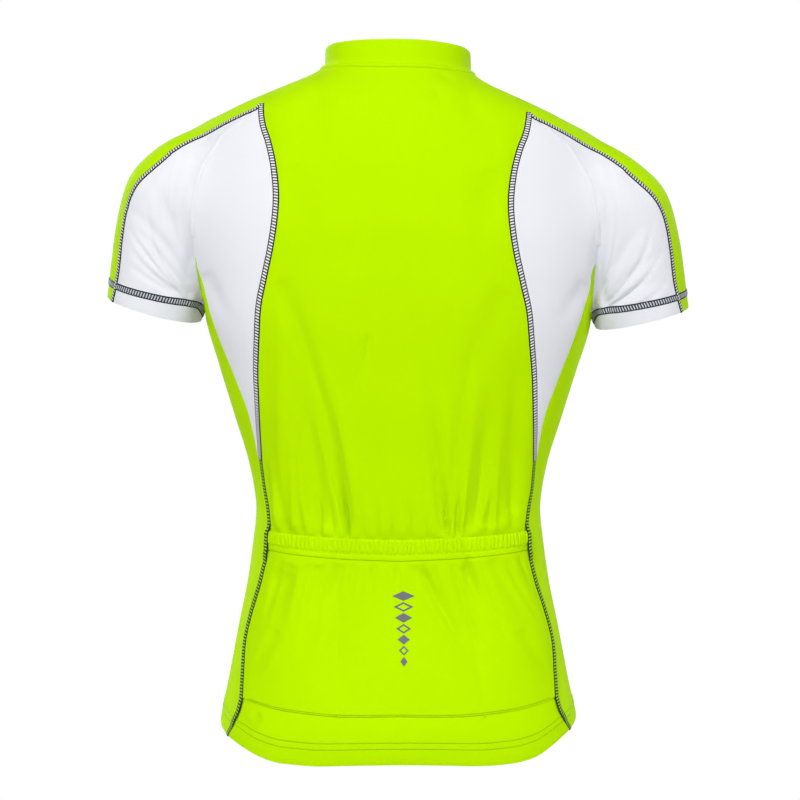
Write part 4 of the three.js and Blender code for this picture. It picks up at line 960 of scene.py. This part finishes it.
def zipRow(name, side):
    run = runAlong(tapeMiddle[:, None], 0)[:, 0]
    at = np.arange(zipTeeth["pitch"] * zipTeeth["first"][side], run[-1] - zipTeeth["end"], zipTeeth["pitch"])
    middle = np.stack([np.interp(at, run, tapeMiddle[:, k]) for k in range(3)], -1)
    outward = unit(slopeAt(middle))
    ahead = unit(np.gradient(middle, axis=0))
    aside = np.cross(ahead, outward)
    corners = np.array([[a, b, c] for c in (zipTeeth["sunk"], 1)
                        for a, b in ((-1, -1), (1, -1), (1, 1), (-1, 1))], float)
    taper = np.where(corners[:, 2:] > 0, zipTeeth["taper"], 1)
    a = corners[:, :1] * taper * zipTeeth["reach"] / 2 + side * zipTeeth["aside"]
    b = corners[:, 1:2] * taper * zipTeeth["wide"] / 2
    up = outward[:, None] * corners[:, 2:] * zipTeeth["proud"]
    points = middle[:, None] + aside[:, None] * a + ahead[:, None] * b + up
    cube = np.array([[0, 3, 2, 1], [4, 5, 6, 7], [0, 1, 5, 4], [1, 2, 6, 5], [2, 3, 7, 6], [3, 0, 4, 7]])
    if np.linalg.det(np.stack([aside[0], ahead[0], outward[0]])) < 0:
        cube = cube[:, ::-1]
    faces = (cube[None] + 8 * np.arange(len(at))[:, None, None]).reshape(-1, 4)
    uv = np.zeros((len(at) * 8, 2))
    return dress(putMesh(name, posed(points).reshape(-1, 3), faces, uv, 30), "teeth")


for name, side in sides:
    zipRow(f"zip_teeth_{name}", side)
print("zip closed")

# Floor, light and backdrop
light = {"world": 0.17, "seen": 1.0, "floor": -0.86, "floorReach": 0.98, "aim": (0, 0, -0.33)}
lamps = [  # name, place, size, power
    ("key", (1.0, 2.9, 1.9), 0.8, 84), ("fill", (-2.2, 2.9, 0.6), 1.4, 40),
    ("graze", (2.9, 0.9, 0.1), 1.0, 16), ("grazeRight", (-2.9, 0.8, 0.2), 1.0, 12),
    ("top", (0, 0.4, 2.4), 2.4, 3), ("frontLeft", (1.8, -3.0, 0.8), 1.4, 60),
    ("frontRight", (-1.8, -3.0, 0.6), 1.4, 38),
]


def lightScene():
    world = bpy.data.worlds.new("studio")
    world.use_nodes = True
    world.node_tree.nodes.clear()
    wire = Wire(world.node_tree)
    seen = wire.node("LightPath", out=0)
    strength = seen * (light["seen"] - light["world"]) + light["world"]
    shader = wire.node("Background", sockets={"Color": (1, 1, 1, 1), "Strength": strength})
    wire.tree.links.new(shader.socket, wire.tree.nodes.new("ShaderNodeOutputWorld").inputs["Surface"])
    scene.world = world
    for name, place, size, power in lamps:
        data = bpy.data.lights.new(name, "AREA")
        data.size, data.energy, data.shape = size, power, "DISK"
        lamp = bpy.data.objects.new(name, data)
        lamp.location = place
        x, y, z = np.array(light["aim"]) - np.array(place)
        lamp.rotation_euler = [np.arctan2(np.hypot(x, y), -z), 0, np.arctan2(y, x) - np.pi / 2]
        scene.collection.objects.link(lamp)


def layFloor():  # a round floor, its rings running out to its edge
    rings = spread(0.02, 1, 12) * light["floorReach"]
    turn, far = np.meshgrid(spread(0, 2 * np.pi, 96)[:-1], rings, indexing="ij")
    points = np.stack([far * np.cos(turn), far * np.sin(turn), 0 * far + light["floor"]], -1)
    index = np.arange(turn.size).reshape(turn.shape)
    ahead = np.roll(index, -1, axis=0)
    faces = np.stack([index[:, :-1], index[:, 1:], ahead[:, 1:], ahead[:, :-1]], -1)
    faces = [*faces.reshape(-1, 4).tolist(), index[:, 0].tolist()]
    floor = putMesh("floor", points.reshape(-1, 3) * 1000, faces)
    material, wire = newMaterial("pale_floor")
    places = wire.node("TexCoord", out=3)
    grain = wire.node("TexNoise", sockets={"Vector": places, "Scale": 60.0})
    color = grain.mix((0.84, 0.84, 0.84, 1), (0.8, 0.8, 0.8, 1))
    finishMaterial(wire, color=color, roughness=0.9, specular=0.1)
    floor.data.materials.append(material)


lightScene()
layFloor()
